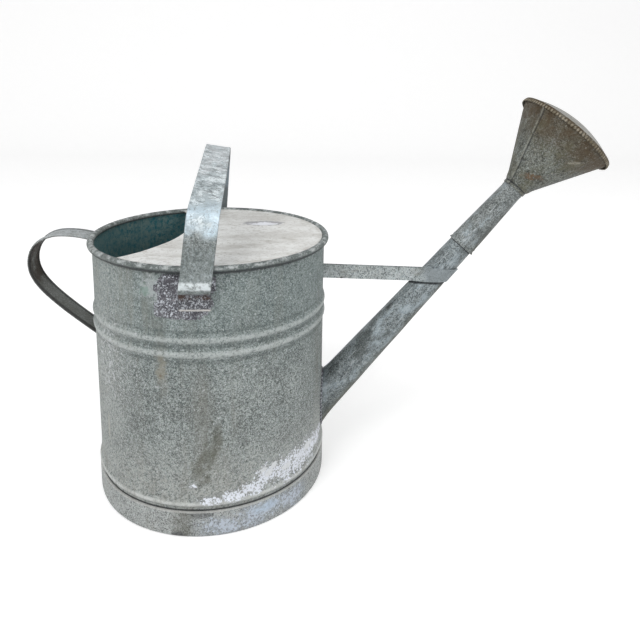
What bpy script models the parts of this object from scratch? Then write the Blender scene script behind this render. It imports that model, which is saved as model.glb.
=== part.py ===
# A weathered galvanised watering can, made of rolled, folded and soldered sheet.
# Metres, +Z up. The can is drawn about its own axis with the spout towards +X,
# and at the end it is moved so that the middle of its footprint is the origin.

import math

import bmesh
import bpy
from mathutils import Matrix, Vector

# Sheet, wire and clearances
SHEET = 0.0008              # zinc-coated sheet of the whole can
SEAM_GAP = 0.0003           # solder film between two pieces that are joined
WIRE_CLEARANCE = 0.0006     # round the wire inside the rolled rim

# Body
BODY_RADIUS = 0.120         # outside of the plain wall
RIM_HEIGHT = 0.2664         # centre of the rolled rim above the ground
RIM_OFFSET = 0.0014         # centre of the rolled rim outside the wall
RIM_BEAD_RADIUS = 0.0033     # outside of the roll
BEAD_HEIGHTS = (0.1858, 0.1996)
BEAD_WIDTH = 0.0118
BEAD_RISE = 0.0018
FOOT_BEAD_HEIGHT = 0.0344
FOOT_BEAD_WIDTH = 0.0080
FOOT_BEAD_RISE = 0.0022
BODY_SEGMENTS = 48

# Foot band and base
BAND_HEIGHT = 0.0271
BAND_THICKNESS = 0.0018     # the strip is folded double
BAND_FLANGE = 0.0016        # thickness of the folded flange that stands on the ground
BAND_FLANGE_WIDTH = 0.0040
BASE_RECESS = 0.0100        # height of the base over the ground
BASE_CORNER = 0.0012

# Deck, the half cover of the mouth
DECK_RISE = 0.0010          # middle of the plate above the middle of the rim
DECK_CUT_RADIUS = 0.173     # hollow edge of the deck
DECK_CUT_REACH = 0.030      # distance of that edge from the can's axis
DECK_CUT_TURN = 171.4       # direction of that edge, degrees from +X
DECK_HEM_WIDTH = 0.0045
DECK_HEM_THICKNESS = 0.0017
DECK_CUT_SEGMENTS = 72

# Spout
SPOUT_HEIGHT = 0.0780       # where its axis crosses the wall
SPOUT_RISE = 49.5           # degrees above the ground
SPOUT_ROOT_RADIUS = 0.0191  # outside, where its axis crosses the wall
SPOUT_TIP_RADIUS = 0.0125
SPOUT_LENGTH = 0.264
SPOUT_FLARE = 0.0016        # the root opens a little against the wall
SPOUT_FLARE_LENGTH = 0.012
SPOUT_SEGMENTS = 24
OUTLET_MARGIN = 0.0030      # the hole in the wall is this much inside the spout's root
SOLDER_WIDTH = 0.0018

# Brace, a strip looped round the spout
BRACE_HEIGHT = 0.0148       # height of the strip
BRACE_DROP = 0.0402         # middle of the strip at the wall, below the middle of the rim
BRACE_FALL = 0.0046         # from there to the spout
BRACE_SPACING = 0.0108      # between the middles of the two legs
BRACE_THICKNESS = 0.0012
BRACE_TILT = 12.0           # degrees, its near side is higher

# Rose
SOCKET_START = 0.233        # distance of its mouth along the spout
SOCKET_LENGTH = 0.088
SOCKET_TAPER = 0.032        # loss of radius for each metre of length
SOCKET_SEAT_GAP = 0.0003    # round the tip of the spout
SOCKET_LIP = 0.0010         # the mouth is turned out by this much
SOCKET_LIP_LENGTH = 0.0030
ROSE_DEPTH = 0.0775          # from the neck to the rim
ROSE_RADIUS = 0.0560        # outside of the crimped rim
ROSE_COLLAR = 0.0045        # the cone laps over the socket by this much
ROSE_HEM = 0.0042           # depth of the crimped rim
ROSE_DOME = 0.0142          # the face stands this much proud of its rim
ROSE_SEGMENTS = 32
HOLE_RADIUS = 0.0012
HOLE_RINGS = 4
HOLE_PITCH = 0.0112         # between rings, and between the holes of a ring
HOLE_SIDES = 6

# Carry handle
CARRY_WIDTH = 0.0287
CARRY_WEB = 0.0012
CARRY_EDGE = 0.0022         # thickness over the folded edges
CARRY_ARCH_RISE = 0.0301    # middle of the arch above its springing
CARRY_TIP = 0.0174          # its far shoulder is bent up by this much, and the near one down
CARRY_ROLL = 0.15           # slope of the crown's width, down towards the spout
CARRY_SPRING_RISE = 0.0407  # the arch starts this much above the middle of the rim
CARRY_SQUARENESS = 6.0      # 2 is an ellipse, more is squarer
CARRY_FOOT_DROP = 0.0381    # lower edge of its feet below the middle of the rim
CARRY_FOOT_LENGTH = 0.0157
CARRY_JOGGLE_LENGTH = 0.0100    # of the bulge over the lug plate and the rim
CARRY_JOGGLE_OUT = 0.0042   # the bulge stands this much outside the legs
CARRY_TURN = 2.6            # degrees, the handle isn't quite square to the spout
CARRY_SHIFT = -0.0064
CARRY_LEAN_FRONT = 0.0118   # the near shoulder is bent towards the spout
CARRY_LEAN_BACK = 0.0066
CARRY_ARCH_STEPS = 14
LUG_WIDTH = 0.0395
LUG_HEIGHT = 0.0130
LUG_RISE = 0.0026           # above the upper end of the feet
LUG_SHIFT = -0.0010
LUG_THICKNESS = 0.0012

# Rear handle
REAR_WIDTH = 0.0270
REAR_WEB = 0.0010
REAR_EDGE = 0.0030
REAR_REACH = 0.0665         # outside of the loop beyond the wall
REAR_CROWN = 0.0022         # top of the loop above the middle of the rim
REAR_CROWN_OUT = 0.0330     # that top, beyond the wall
REAR_REACH_DROP = 0.0294    # the outermost point below the middle of the rim
REAR_FOOT_DROP = 0.1059     # the lower end on the wall below the middle of the rim
REAR_CURVE_STEPS = 7

COLLECTION = "watering_can"
CUTTERS = "cutters"

ZINC = (0.36, 0.39, 0.37)
PALE_ZINC = (0.62, 0.62, 0.59)
BLUE_ZINC = (0.42, 0.47, 0.50)
BROWN_ZINC = (0.20, 0.20, 0.16)
DARK_SOLDER = (0.22, 0.22, 0.24)
WIRE_STEEL = (0.30, 0.28, 0.26)


# Helpers

def clear_scene():
    for item in list(bpy.data.objects):
        bpy.data.objects.remove(item, do_unlink=True)


def make_collection(name):
    group = bpy.data.collections.new(name)
    bpy.context.scene.collection.children.link(group)
    return group


def make_material(name, colour, roughness, metallic=0.9):
    """A plain material with the piece's own colour and gloss."""
    material = bpy.data.materials.new(name)
    material.use_nodes = True
    shader = material.node_tree.nodes["Principled BSDF"]
    shader.inputs["Base Color"].default_value = (*colour, 1.0)
    shader.inputs["Roughness"].default_value = roughness
    shader.inputs["Metallic"].default_value = metallic
    return material


def add_object(name, mesh, matrix=None):
    """Put a mesh into the can's collection, under its frame."""
    item = bpy.data.objects.new(name, mesh)
    parts.objects.link(item)
    item.parent = frame
    if matrix is not None:
        item.matrix_local = matrix
    return item


def as_cutter(item):
    """Turn an object into a tool that is cut with and not kept."""
    parts.objects.unlink(item)
    cutters.objects.link(item)
    item.hide_render = True
    item.display_type = "WIRE"
    return item


def profile_mesh(name, profile, closed):
    """Edges in the XZ plane, for a Screw modifier."""
    mesh = bpy.data.meshes.new(name)
    count = len(profile)
    edges = [(index, index + 1) for index in range(count - 1)]
    if closed:
        edges.append((count - 1, 0))
    mesh.from_pydata([(radius, 0.0, height) for radius, height in profile], edges, [])
    return mesh


def turned(name, profile, segments, closed=False, shell=0.0, inset=1.0, matrix=None):
    """A turned piece. The profile runs from the top down its outer side."""
    item = add_object(name, profile_mesh(name, profile, closed), matrix)
    screw = item.modifiers.new("turn", "SCREW")
    screw.steps = segments
    screw.render_steps = segments
    screw.use_merge_vertices = True
    screw.merge_threshold = 0.00001
    screw.use_smooth_shade = True
    if shell:
        wall = item.modifiers.new("sheet", "SOLIDIFY")
        wall.thickness = shell
        wall.offset = -inset
        wall.use_even_offset = True
    return item


def add_boolean(item, tool, operation):
    change = item.modifiers.new(tool.name, "BOOLEAN")
    change.object = tool
    change.operation = operation
    change.solver = "EXACT"


def baked(item):
    """Replace an object by its evaluated mesh, in the can's frame."""
    bpy.context.view_layer.update()
    graph = bpy.context.evaluated_depsgraph_get()
    mesh = bpy.data.meshes.new_from_object(item.evaluated_get(graph))
    mesh.transform(frame.matrix_world.inverted() @ item.matrix_world)
    name = item.name
    bpy.data.objects.remove(item, do_unlink=True)
    return add_object(name, mesh)


def box(name, low, high, matrix=None):
    """A box between two corners."""
    shape = bmesh.new()
    bmesh.ops.create_cube(shape, size=1.0)
    size = [b - a for a, b in zip(low, high)]
    centre = [(a + b) / 2 for a, b in zip(low, high)]
    bmesh.ops.scale(shape, vec=size, verts=shape.verts)
    bmesh.ops.translate(shape, vec=centre, verts=shape.verts)
    mesh = bpy.data.meshes.new(name)
    shape.to_mesh(mesh)
    shape.free()
    return add_object(name, mesh, matrix)


def strap_section(name, width, web, edge):
    """Section of a strap: a flat web with a thicker folded edge on each side."""
    half = width / 2
    inner = half - 1.6 * edge
    fold = half - edge
    side = [(web / 2, inner), (edge / 2, fold), (edge / 2, half)]
    ring = side + [(-a, b) for a, b in reversed(side)]
    ring += [(-a, -b) for a, b in side] + [(a, -b) for a, b in reversed(side)]
    curve = bpy.data.curves.new(name, "CURVE")
    curve.dimensions = "2D"
    spline = curve.splines.new("POLY")
    spline.points.add(len(ring) - 1)
    for point, (across, along) in zip(spline.points, ring):
        point.co = (across, along, 0.0, 1.0)
    spline.use_cyclic_u = True
    item = bpy.data.objects.new(name, curve)
    parts.objects.link(item)
    return as_cutter(item)


def strap(name, path, section, matrix):
    """A strap swept along a flat path, as one closed mesh."""
    curve = bpy.data.curves.new(name, "CURVE")
    curve.dimensions = "2D"
    curve.fill_mode = "NONE"
    spline = curve.splines.new("POLY")
    spline.points.add(len(path) - 1)
    for point, (across, up) in zip(spline.points, path):
        point.co = (across, up, 0.0, 1.0)
    curve.bevel_mode = "OBJECT"
    curve.bevel_object = section
    curve.use_fill_caps = True
    item = add_object(name, curve, matrix)
    item = baked(item)
    shape = bmesh.new()
    shape.from_mesh(item.data)
    bmesh.ops.remove_doubles(shape, verts=shape.verts, dist=0.00001)
    bmesh.ops.recalc_face_normals(shape, faces=shape.faces)
    shape.to_mesh(item.data)
    shape.free()
    return item


def finish(item, material, sharp=35.0):
    """Give a piece its material and smooth its round sides."""
    item.data.materials.clear()
    item.data.materials.append(material)
    if item.data.polygons:
        item.data.shade_smooth()
        item.data.set_sharp_from_angle(angle=math.radians(sharp))


def smooth_step(low, high, value):
    share = min(max((value - low) / (high - low), 0.0), 1.0)
    return share * share * (3.0 - 2.0 * share)


# Body

def swage(height, width, rise):
    """The rounded back of one swaged bead, from its top to its foot."""
    crown = width * 0.18
    return [(rise, height + crown), (rise, height - crown)]


def rim_centre_radius():
    return BODY_RADIUS + RIM_OFFSET


def rim_outside():
    return rim_centre_radius() + RIM_BEAD_RADIUS


def rim_inside():
    return rim_centre_radius() - RIM_BEAD_RADIUS


def wall_foot():
    """The wall's lower edge stands on the flange of the foot band."""
    return BAND_FLANGE + SEAM_GAP


def make_body_wall():
    roll_radius = RIM_BEAD_RADIUS - SHEET / 2
    middle = BODY_RADIUS - SHEET / 2
    profile = []
    for angle in range(-70, 201, 45):
        turn = math.radians(angle)
        radius = rim_centre_radius() + roll_radius * math.cos(turn)
        profile.append((radius, RIM_HEIGHT + roll_radius * math.sin(turn)))
    profile.append((middle, RIM_HEIGHT - RIM_BEAD_RADIUS - 2 * SHEET))
    upper, lower = max(BEAD_HEIGHTS), min(BEAD_HEIGHTS)
    profile.append((middle, upper + BEAD_WIDTH / 2))
    profile += [(middle + out, z) for out, z in swage(upper, BEAD_WIDTH, BEAD_RISE)]
    profile.append((middle, (upper + lower) / 2))
    profile += [(middle + out, z) for out, z in swage(lower, BEAD_WIDTH, BEAD_RISE)]
    profile.append((middle, lower - BEAD_WIDTH / 2))
    profile.append((middle, FOOT_BEAD_HEIGHT + FOOT_BEAD_WIDTH / 2))
    profile.append((middle + FOOT_BEAD_RISE, FOOT_BEAD_HEIGHT))
    profile.append((middle, FOOT_BEAD_HEIGHT - FOOT_BEAD_WIDTH / 2))
    profile.append((middle, wall_foot()))
    wall = turned("body_wall", profile, BODY_SEGMENTS, shell=SHEET, inset=0.0)
    add_boolean(wall, make_outlet_cutter(), "DIFFERENCE")
    return wall


def make_rim_wire():
    radius = RIM_BEAD_RADIUS - SHEET - WIRE_CLEARANCE
    ring = []
    for step in range(5):
        turn = math.radians(90 - 72 * step)
        ring.append((rim_centre_radius() + radius * math.cos(turn), RIM_HEIGHT + radius * math.sin(turn)))
    return turned("rim_wire", ring, BODY_SEGMENTS, closed=True)


def make_foot_band():
    inside = BODY_RADIUS + SEAM_GAP
    outside = inside + BAND_THICKNESS
    flange_inside = outside - BAND_FLANGE_WIDTH
    profile = [(outside, BAND_HEIGHT), (outside, SHEET), (outside - SHEET, 0.0), (flange_inside, 0.0)]
    profile += [(flange_inside, BAND_FLANGE), (inside, BAND_FLANGE), (inside, BAND_HEIGHT)]
    return turned("foot_band", profile, BODY_SEGMENTS, closed=True)


def make_base_disc():
    outside = BODY_RADIUS - SHEET - SEAM_GAP
    profile = [(0.0, BASE_RECESS + SHEET), (outside - BASE_CORNER, BASE_RECESS + SHEET)]
    profile += [(outside, BASE_RECESS + SHEET - BASE_CORNER), (outside, wall_foot())]
    return turned("base_disc", profile, BODY_SEGMENTS, shell=SHEET)


def body_envelope():
    """The space that the wall, the rim and their solder film take."""
    around = BODY_RADIUS + SEAM_GAP
    around_rim = rim_outside() + SEAM_GAP
    above = RIM_HEIGHT + RIM_BEAD_RADIUS + SEAM_GAP
    below = RIM_HEIGHT - RIM_BEAD_RADIUS - SEAM_GAP
    profile = [(0.0, above), (around_rim, above), (around_rim, below), (around, below)]
    profile += [(around, 0.0), (0.0, 0.0)]
    return as_cutter(turned("body_envelope", profile, BODY_SEGMENTS))


# Deck

def make_deck():
    outside = rim_inside() - SEAM_GAP
    top = RIM_HEIGHT + DECK_RISE + SHEET / 2
    under = top - SHEET
    profile = [(0.0, top), (outside, top), (outside, under), (0.0, under)]
    deck = turned("deck_plate", profile, BODY_SEGMENTS)

    reach = DECK_CUT_REACH + DECK_CUT_RADIUS
    turn = math.radians(DECK_CUT_TURN)
    place = Matrix.Translation((reach * math.cos(turn), reach * math.sin(turn), 0.0))

    hem_outside = DECK_CUT_RADIUS + DECK_HEM_WIDTH
    cosine = (reach ** 2 + hem_outside ** 2 - outside ** 2) / (2 * reach * hem_outside)
    half_angle = math.acos(min(cosine, 1.0)) - math.radians(0.6)
    hem_place = place @ Matrix.Rotation(turn + math.pi - half_angle, 4, "Z")
    hem_low = top - DECK_HEM_THICKNESS
    section = [(hem_outside, top), (hem_outside, hem_low)]
    section += [(DECK_CUT_RADIUS, hem_low), (DECK_CUT_RADIUS, top)]
    hem = turned("deck_hem", section, DECK_CUT_SEGMENTS // 4, closed=True, matrix=hem_place)
    screw = hem.modifiers["turn"]
    screw.angle = 2 * half_angle
    screw.use_merge_vertices = False
    hem = baked(hem)
    shape = bmesh.new()
    shape.from_mesh(hem.data)
    open_edges = [edge for edge in shape.edges if edge.is_boundary]
    bmesh.ops.holes_fill(shape, edges=open_edges)
    bmesh.ops.recalc_face_normals(shape, faces=shape.faces)
    shape.to_mesh(hem.data)
    shape.free()
    add_boolean(deck, as_cutter(hem), "UNION")

    tall = 4 * DECK_HEM_THICKNESS
    mouth = [(0.0, top + tall), (DECK_CUT_RADIUS, top + tall), (DECK_CUT_RADIUS, top - tall), (0.0, top - tall)]
    add_boolean(deck, as_cutter(turned("deck_mouth", mouth, DECK_CUT_SEGMENTS, matrix=place)), "DIFFERENCE")
    return deck


# Spout

def spout_place():
    """Local Z runs up the spout from where its axis crosses the wall."""
    lean = math.radians(90.0 - SPOUT_RISE)
    return Matrix.Translation((BODY_RADIUS, 0.0, SPOUT_HEIGHT)) @ Matrix.Rotation(lean, 4, "Y")


def spout_radius(along):
    """Outside of the tube at a distance up its axis."""
    taper = (SPOUT_ROOT_RADIUS - SPOUT_TIP_RADIUS) / SPOUT_LENGTH
    return SPOUT_ROOT_RADIUS - taper * along


def root_depth():
    """How far back along the axis the tube has to run before all of it is inside the wall."""
    return 2.0 * SPOUT_ROOT_RADIUS / math.tan(math.radians(SPOUT_RISE))


def spout_profile(extra):
    """The tube's outside, grown by extra, from its tip to behind the wall."""
    flare_end = root_front() + SPOUT_FLARE_LENGTH
    profile = [(spout_radius(SPOUT_LENGTH) + extra, SPOUT_LENGTH)]
    profile.append((spout_radius(flare_end) + extra, flare_end))
    profile.append((spout_radius(0.0) + SPOUT_FLARE + extra, 0.0))
    profile.append((spout_radius(-root_depth()) + SPOUT_FLARE + extra, -root_depth()))
    return profile


def root_front():
    """The distance up the axis of the highest point where the tube meets the wall."""
    return SPOUT_ROOT_RADIUS * math.tan(math.radians(SPOUT_RISE))


def make_outlet_cutter():
    radius = SPOUT_ROOT_RADIUS - OUTLET_MARGIN
    reach = root_front() + SHEET
    profile = [(0.0, reach), (radius, reach), (radius, -root_depth()), (0.0, -root_depth())]
    return as_cutter(turned("outlet", profile, SPOUT_SEGMENTS, matrix=spout_place()))


def make_spout(envelope):
    tube = turned("spout_tube", spout_profile(0.0), SPOUT_SEGMENTS, shell=SHEET, matrix=spout_place())
    add_boolean(tube, envelope, "DIFFERENCE")
    return tube


def spout_solid(name, extra):
    """The tube as a filled shape, grown by extra, to cut other pieces with."""
    profile = spout_profile(extra)
    profile = [(0.0, profile[0][1])] + profile + [(0.0, profile[-1][1])]
    return turned(name, profile, SPOUT_SEGMENTS, matrix=spout_place())


def make_root_solder(envelope, spout_space):
    """Solder in the corner between tube and wall, all the way round."""
    solder = spout_solid("spout_root_solder", SEAM_GAP + SOLDER_WIDTH)
    top = SPOUT_HEIGHT + 4 * SPOUT_ROOT_RADIUS
    jacket = [(0.0, top), (BODY_RADIUS + SEAM_GAP + SOLDER_WIDTH, top)]
    jacket += [(BODY_RADIUS + SEAM_GAP + SOLDER_WIDTH, 0.0), (0.0, 0.0)]
    add_boolean(solder, as_cutter(turned("solder_jacket", jacket, BODY_SEGMENTS)), "INTERSECT")
    add_boolean(solder, envelope, "DIFFERENCE")
    add_boolean(solder, spout_space, "DIFFERENCE")
    return solder


def spout_axis_x(height):
    """The X at which the spout's axis is at this height."""
    return BODY_RADIUS + (height - SPOUT_HEIGHT) / math.tan(math.radians(SPOUT_RISE))


def make_brace(envelope, spout_space):
    """One strip: a band round the spout and two legs back to the wall."""
    height = RIM_HEIGHT - BRACE_DROP
    run = spout_axis_x(height - BRACE_FALL) - BODY_RADIUS
    fall = math.atan2(BRACE_FALL, run)
    place = Matrix.Translation((BODY_RADIUS, 0.0, height)) @ Matrix.Rotation(fall, 4, "Y")
    half = BRACE_HEIGHT / 2
    reach = run + 4 * SPOUT_ROOT_RADIUS
    wide = 2 * SPOUT_ROOT_RADIUS
    band = spout_solid("spout_brace", SEAM_GAP + BRACE_THICKNESS)
    for side in (-1, 1):
        middle = side * BRACE_SPACING / 2
        low = (-3 * SHEET, middle - BRACE_THICKNESS / 2, -BRACE_HEIGHT)
        high = (run / math.cos(fall), middle + BRACE_THICKNESS / 2, BRACE_HEIGHT)
        add_boolean(band, as_cutter(box(f"brace_leg_{side}", low, high, place)), "UNION")
    tilted = place @ Matrix.Rotation(math.radians(-BRACE_TILT), 4, "X")
    slab = as_cutter(box("brace_slab", (-2 * SHEET, -wide, -half), (reach, wide, half), tilted))
    add_boolean(band, slab, "INTERSECT")
    add_boolean(band, spout_space, "DIFFERENCE")
    add_boolean(band, envelope, "DIFFERENCE")
    return band


# Rose

def rose_place():
    """Local Z runs up the spout from the mouth of the socket."""
    return spout_place() @ Matrix.Translation((0.0, 0.0, SOCKET_START))


def socket_radius(along):
    """Outside of the socket at a distance from its mouth: it seats on the spout's tip."""
    seat = SPOUT_LENGTH - SOCKET_START
    seat_radius = spout_radius(SPOUT_LENGTH) + SOCKET_SEAT_GAP + SHEET
    return seat_radius + SOCKET_TAPER * (seat - along)


def make_rose_socket():
    profile = [(socket_radius(SOCKET_LENGTH), SOCKET_LENGTH)]
    profile.append((socket_radius(SOCKET_LIP_LENGTH), SOCKET_LIP_LENGTH))
    profile.append((socket_radius(0.0) + SOCKET_LIP, 0.0))
    return turned("rose_socket", profile, SPOUT_SEGMENTS, shell=SHEET, matrix=rose_place())


def rose_rim():
    return SOCKET_LENGTH + ROSE_DEPTH


def dome_height(radius):
    """Outside of the face above the level of its rim: part of a sphere."""
    edge = ROSE_RADIUS - SHEET
    sphere = (edge ** 2 + ROSE_DOME ** 2) / (2 * ROSE_DOME)
    return math.sqrt(sphere ** 2 - radius ** 2) - (sphere - ROSE_DOME)


def make_rose_cone():
    edge = ROSE_RADIUS - SHEET - SEAM_GAP
    rim = rose_rim() - SHEET - SEAM_GAP - SHEET
    neck = socket_radius(SOCKET_LENGTH) + SEAM_GAP + SHEET
    collar = SOCKET_LENGTH - ROSE_COLLAR
    collar_end = socket_radius(collar) + SEAM_GAP + SHEET
    profile = [(edge, rim), (edge - SHEET, rim - SHEET), (neck, SOCKET_LENGTH), (collar_end, collar)]
    return turned("rose_cone", profile, ROSE_SEGMENTS, shell=SHEET, matrix=rose_place())


def make_rose_face():
    edge = ROSE_RADIUS - SHEET
    rim = rose_rim()
    profile = []
    for share in (0.0, 0.3, 0.6, 0.84, 1.0):
        profile.append((edge * share, rim + dome_height(edge * share)))
    profile.append((ROSE_RADIUS, rim - SHEET))
    profile.append((ROSE_RADIUS, rim - ROSE_HEM))
    face = turned("rose_face", profile, ROSE_SEGMENTS, shell=SHEET, matrix=rose_place())
    add_boolean(face, make_perforations(), "DIFFERENCE")
    return face


def make_perforations():
    """Rings of small holes, six more in each ring than in the last."""
    shape = bmesh.new()
    low = rose_rim() - ROSE_DOME
    high = rose_rim() + 2 * ROSE_DOME
    for ring in range(HOLE_RINGS + 1):
        count = max(1, 6 * ring)
        for step in range(count):
            turn = 2 * math.pi * (step + 0.5 * (ring % 2)) / count
            centre = (ring * HOLE_PITCH * math.cos(turn), ring * HOLE_PITCH * math.sin(turn), (low + high) / 2)
            bmesh.ops.create_cone(
                shape, cap_ends=True, segments=HOLE_SIDES, radius1=HOLE_RADIUS, radius2=HOLE_RADIUS,
                depth=high - low, matrix=Matrix.Translation(centre))
    mesh = bpy.data.meshes.new("perforations")
    shape.to_mesh(mesh)
    shape.free()
    return as_cutter(add_object("perforations", mesh, rose_place()))


# Carry handle

def carry_leg():
    """Middle of the strap's legs from the can's axis: they pass just outside the rim."""
    return rim_outside() + SEAM_GAP + CARRY_EDGE / 2


def carry_foot_top():
    """Upper end of its feet, where the bulge starts."""
    return RIM_HEIGHT - CARRY_FOOT_DROP + CARRY_FOOT_LENGTH


def carry_path():
    """From the near foot over the arch to the far foot, as (across, up)."""
    foot = BODY_RADIUS + SEAM_GAP + CARRY_EDGE / 2
    leg = carry_leg()
    low = carry_foot_top()
    step = CARRY_JOGGLE_LENGTH / 2
    bulge = leg + CARRY_JOGGLE_OUT
    side = [(foot, RIM_HEIGHT - CARRY_FOOT_DROP), (foot, low)]
    side.append((leg + 0.4 * CARRY_JOGGLE_OUT, low + 0.5 * step))
    side += [(bulge, low + 1.5 * step), (bulge, low + 2.5 * step), (leg, low + 4.0 * step)]
    near = [(-across, up) for across, up in side]
    arch = []
    power = 2.0 / CARRY_SQUARENESS
    spring = RIM_HEIGHT + CARRY_SPRING_RISE
    for index in range(CARRY_ARCH_STEPS + 1):
        turn = math.pi * index / CARRY_ARCH_STEPS
        across = -math.copysign(abs(math.cos(turn)) ** power, math.cos(turn)) * leg
        share = math.sin(turn) ** power
        arch.append((across, spring + share * (CARRY_ARCH_RISE + CARRY_TIP * across / leg)))
    return near + arch + list(reversed(side))


def make_carry_handle():
    section = strap_section("carry_section", CARRY_WIDTH, CARRY_WEB, CARRY_EDGE)
    stand = Matrix(((0, 0, 1, 0), (1, 0, 0, 0), (0, 1, 0, 0), (0, 0, 0, 1)))
    handle = strap("carry_handle", carry_path(), section, stand)
    leg = carry_leg()
    foot_top = carry_foot_top()
    spring = RIM_HEIGHT + CARRY_SPRING_RISE
    crown = spring + CARRY_ARCH_RISE
    for vertex in handle.data.vertices:
        place = vertex.co
        rise = max(place.z - foot_top, 0.0) / (crown - foot_top)
        share = (1.0 - place.y / leg) / 2
        lean = CARRY_LEAN_BACK + (CARRY_LEAN_FRONT - CARRY_LEAN_BACK) * share
        place.z -= CARRY_ROLL * place.x * smooth_step(spring, crown, place.z)
        place.x += CARRY_SHIFT + lean * rise
        wrap = 1.0 - smooth_step(RIM_HEIGHT, spring + RIM_BEAD_RADIUS, place.z)
        hollow = abs(place.y) - math.sqrt(max(place.y ** 2 - place.x ** 2, 0.0))
        place.y -= math.copysign(hollow * wrap, place.y)
    handle.data.transform(Matrix.Rotation(math.radians(CARRY_TURN), 4, "Z"))
    return handle


def make_lug(name, side):
    """A plate bent to the wall, behind one foot of the carry handle."""
    inside = BODY_RADIUS + SEAM_GAP
    outside = inside + LUG_THICKNESS
    bottom = carry_foot_top() + LUG_RISE
    top = bottom + LUG_HEIGHT
    section = [(outside, top), (outside, bottom), (inside, bottom), (inside, top)]
    sweep = LUG_WIDTH / inside
    middle = side * math.pi / 2 + math.radians(CARRY_TURN) - side * (CARRY_SHIFT + LUG_SHIFT) / inside
    place = Matrix.Rotation(middle - sweep / 2, 4, "Z")
    lug = turned(name, section, 6, closed=True, matrix=place)
    screw = lug.modifiers["turn"]
    screw.angle = sweep
    screw.use_merge_vertices = False
    lug = baked(lug)
    shape = bmesh.new()
    shape.from_mesh(lug.data)
    bmesh.ops.holes_fill(shape, edges=[edge for edge in shape.edges if edge.is_boundary])
    bmesh.ops.recalc_face_normals(shape, faces=shape.faces)
    shape.to_mesh(lug.data)
    shape.free()
    return lug


# Rear handle

def bezier(start, lead_out, lead_in, end, steps):
    """Points of one cubic curve, without its last one."""
    points = []
    for index in range(steps):
        t = index / steps
        weights = ((1 - t) ** 3, 3 * t * (1 - t) ** 2, 3 * t * t * (1 - t), t ** 3)
        corners = (start, lead_out, lead_in, end)
        points.append(tuple(sum(w * c[axis] for w, c in zip(weights, corners)) for axis in (0, 1)))
    return points


def rear_path():
    """From the rim, over the crown, round the back and down to the wall, as (x, z)."""
    inside = -(BODY_RADIUS - 2 * SHEET)
    top = RIM_HEIGHT + REAR_CROWN
    rim = (-rim_centre_radius(), RIM_HEIGHT - RIM_BEAD_RADIUS / 2)
    crown = (-(BODY_RADIUS + REAR_CROWN_OUT), top)
    back = (-(BODY_RADIUS + REAR_REACH), RIM_HEIGHT - REAR_REACH_DROP)
    foot = (inside, RIM_HEIGHT - REAR_FOOT_DROP - SHEET)
    turn = top - back[1]
    out = REAR_REACH - REAR_CROWN_OUT
    path = bezier(rim, (rim[0] - 0.3 * REAR_CROWN_OUT, 0.4 * rim[1] + 0.6 * top),
                  (crown[0] + 0.4 * REAR_CROWN_OUT, top), crown, REAR_CURVE_STEPS)
    path += bezier(crown, (crown[0] - 0.62 * out, top), (back[0], back[1] + 0.56 * turn), back, REAR_CURVE_STEPS)
    drop = REAR_FOOT_DROP - REAR_REACH_DROP
    bend = (back[0] + 0.22 * REAR_REACH, back[1] - 0.46 * drop)
    path += bezier(back, (back[0], back[1] - 0.24 * drop), bend, foot, 2 * REAR_CURVE_STEPS)
    path.append(foot)
    return path


def make_rear_handle(envelope):
    section = strap_section("rear_section", REAR_WIDTH, REAR_WEB, REAR_EDGE)
    handle = strap("rear_handle", rear_path(), section, Matrix.Rotation(math.pi / 2, 4, "X"))
    add_boolean(handle, envelope, "DIFFERENCE")
    return handle


# Assembly

def footprint_middle(items):
    """The middle of everything's box, seen from above."""
    bpy.context.view_layer.update()
    graph = bpy.context.evaluated_depsgraph_get()
    low = Vector((math.inf, math.inf))
    high = Vector((-math.inf, -math.inf))
    for item in items:
        done = item.evaluated_get(graph)
        for vertex in done.to_mesh().vertices:
            place = done.matrix_world @ vertex.co
            low = Vector((min(low.x, place.x), min(low.y, place.y)))
            high = Vector((max(high.x, place.x), max(high.y, place.y)))
        done.to_mesh_clear()
    return (low + high) / 2


clear_scene()
parts = make_collection(COLLECTION)
cutters = make_collection(CUTTERS)
frame = bpy.data.objects.new("can_axis", None)
parts.objects.link(frame)

wall_zinc = make_material("wall_zinc", ZINC, 0.55)
deck_zinc = make_material("deck_zinc", PALE_ZINC, 0.60)
spout_zinc = make_material("spout_zinc", BLUE_ZINC, 0.45)
rose_zinc = make_material("rose_zinc", BROWN_ZINC, 0.65)
handle_zinc = make_material("handle_zinc", BLUE_ZINC, 0.50)
solder = make_material("solder", DARK_SOLDER, 0.60)
wire_steel = make_material("wire_steel", WIRE_STEEL, 0.50)

envelope = body_envelope()
spout_space = as_cutter(spout_solid("spout_space", SEAM_GAP))

finish(make_body_wall(), wall_zinc)
finish(make_rim_wire(), wire_steel)
finish(make_foot_band(), wall_zinc)
finish(make_base_disc(), wall_zinc)
finish(make_deck(), deck_zinc)
finish(make_spout(envelope), spout_zinc)
finish(make_root_solder(envelope, spout_space), solder)
finish(make_brace(envelope, spout_space), handle_zinc)
finish(make_rose_socket(), spout_zinc)
finish(make_rose_cone(), rose_zinc)
finish(make_rose_face(), rose_zinc)
finish(make_carry_handle(), handle_zinc)
finish(make_lug("front_lug_plate", -1), solder)
finish(make_lug("back_lug_plate", 1), solder)
finish(make_rear_handle(envelope), handle_zinc)

middle = footprint_middle([item for item in parts.objects if item.type == "MESH"])
frame.location = (-middle.x, -middle.y, 0.0)
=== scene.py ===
# %% [markdown]
# # A weathered galvanised watering can
# The solids of the can come in as a fixed frame. This lesson dresses them: it turns, rolls and folds
# finer sheet over them, and gives every surface the finish of old zinc: mottled, chalky and stained.

# %% Load the frame
import math

import bmesh
import bpy
import numpy as np
from mathutils import Matrix, Vector, noise


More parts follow.
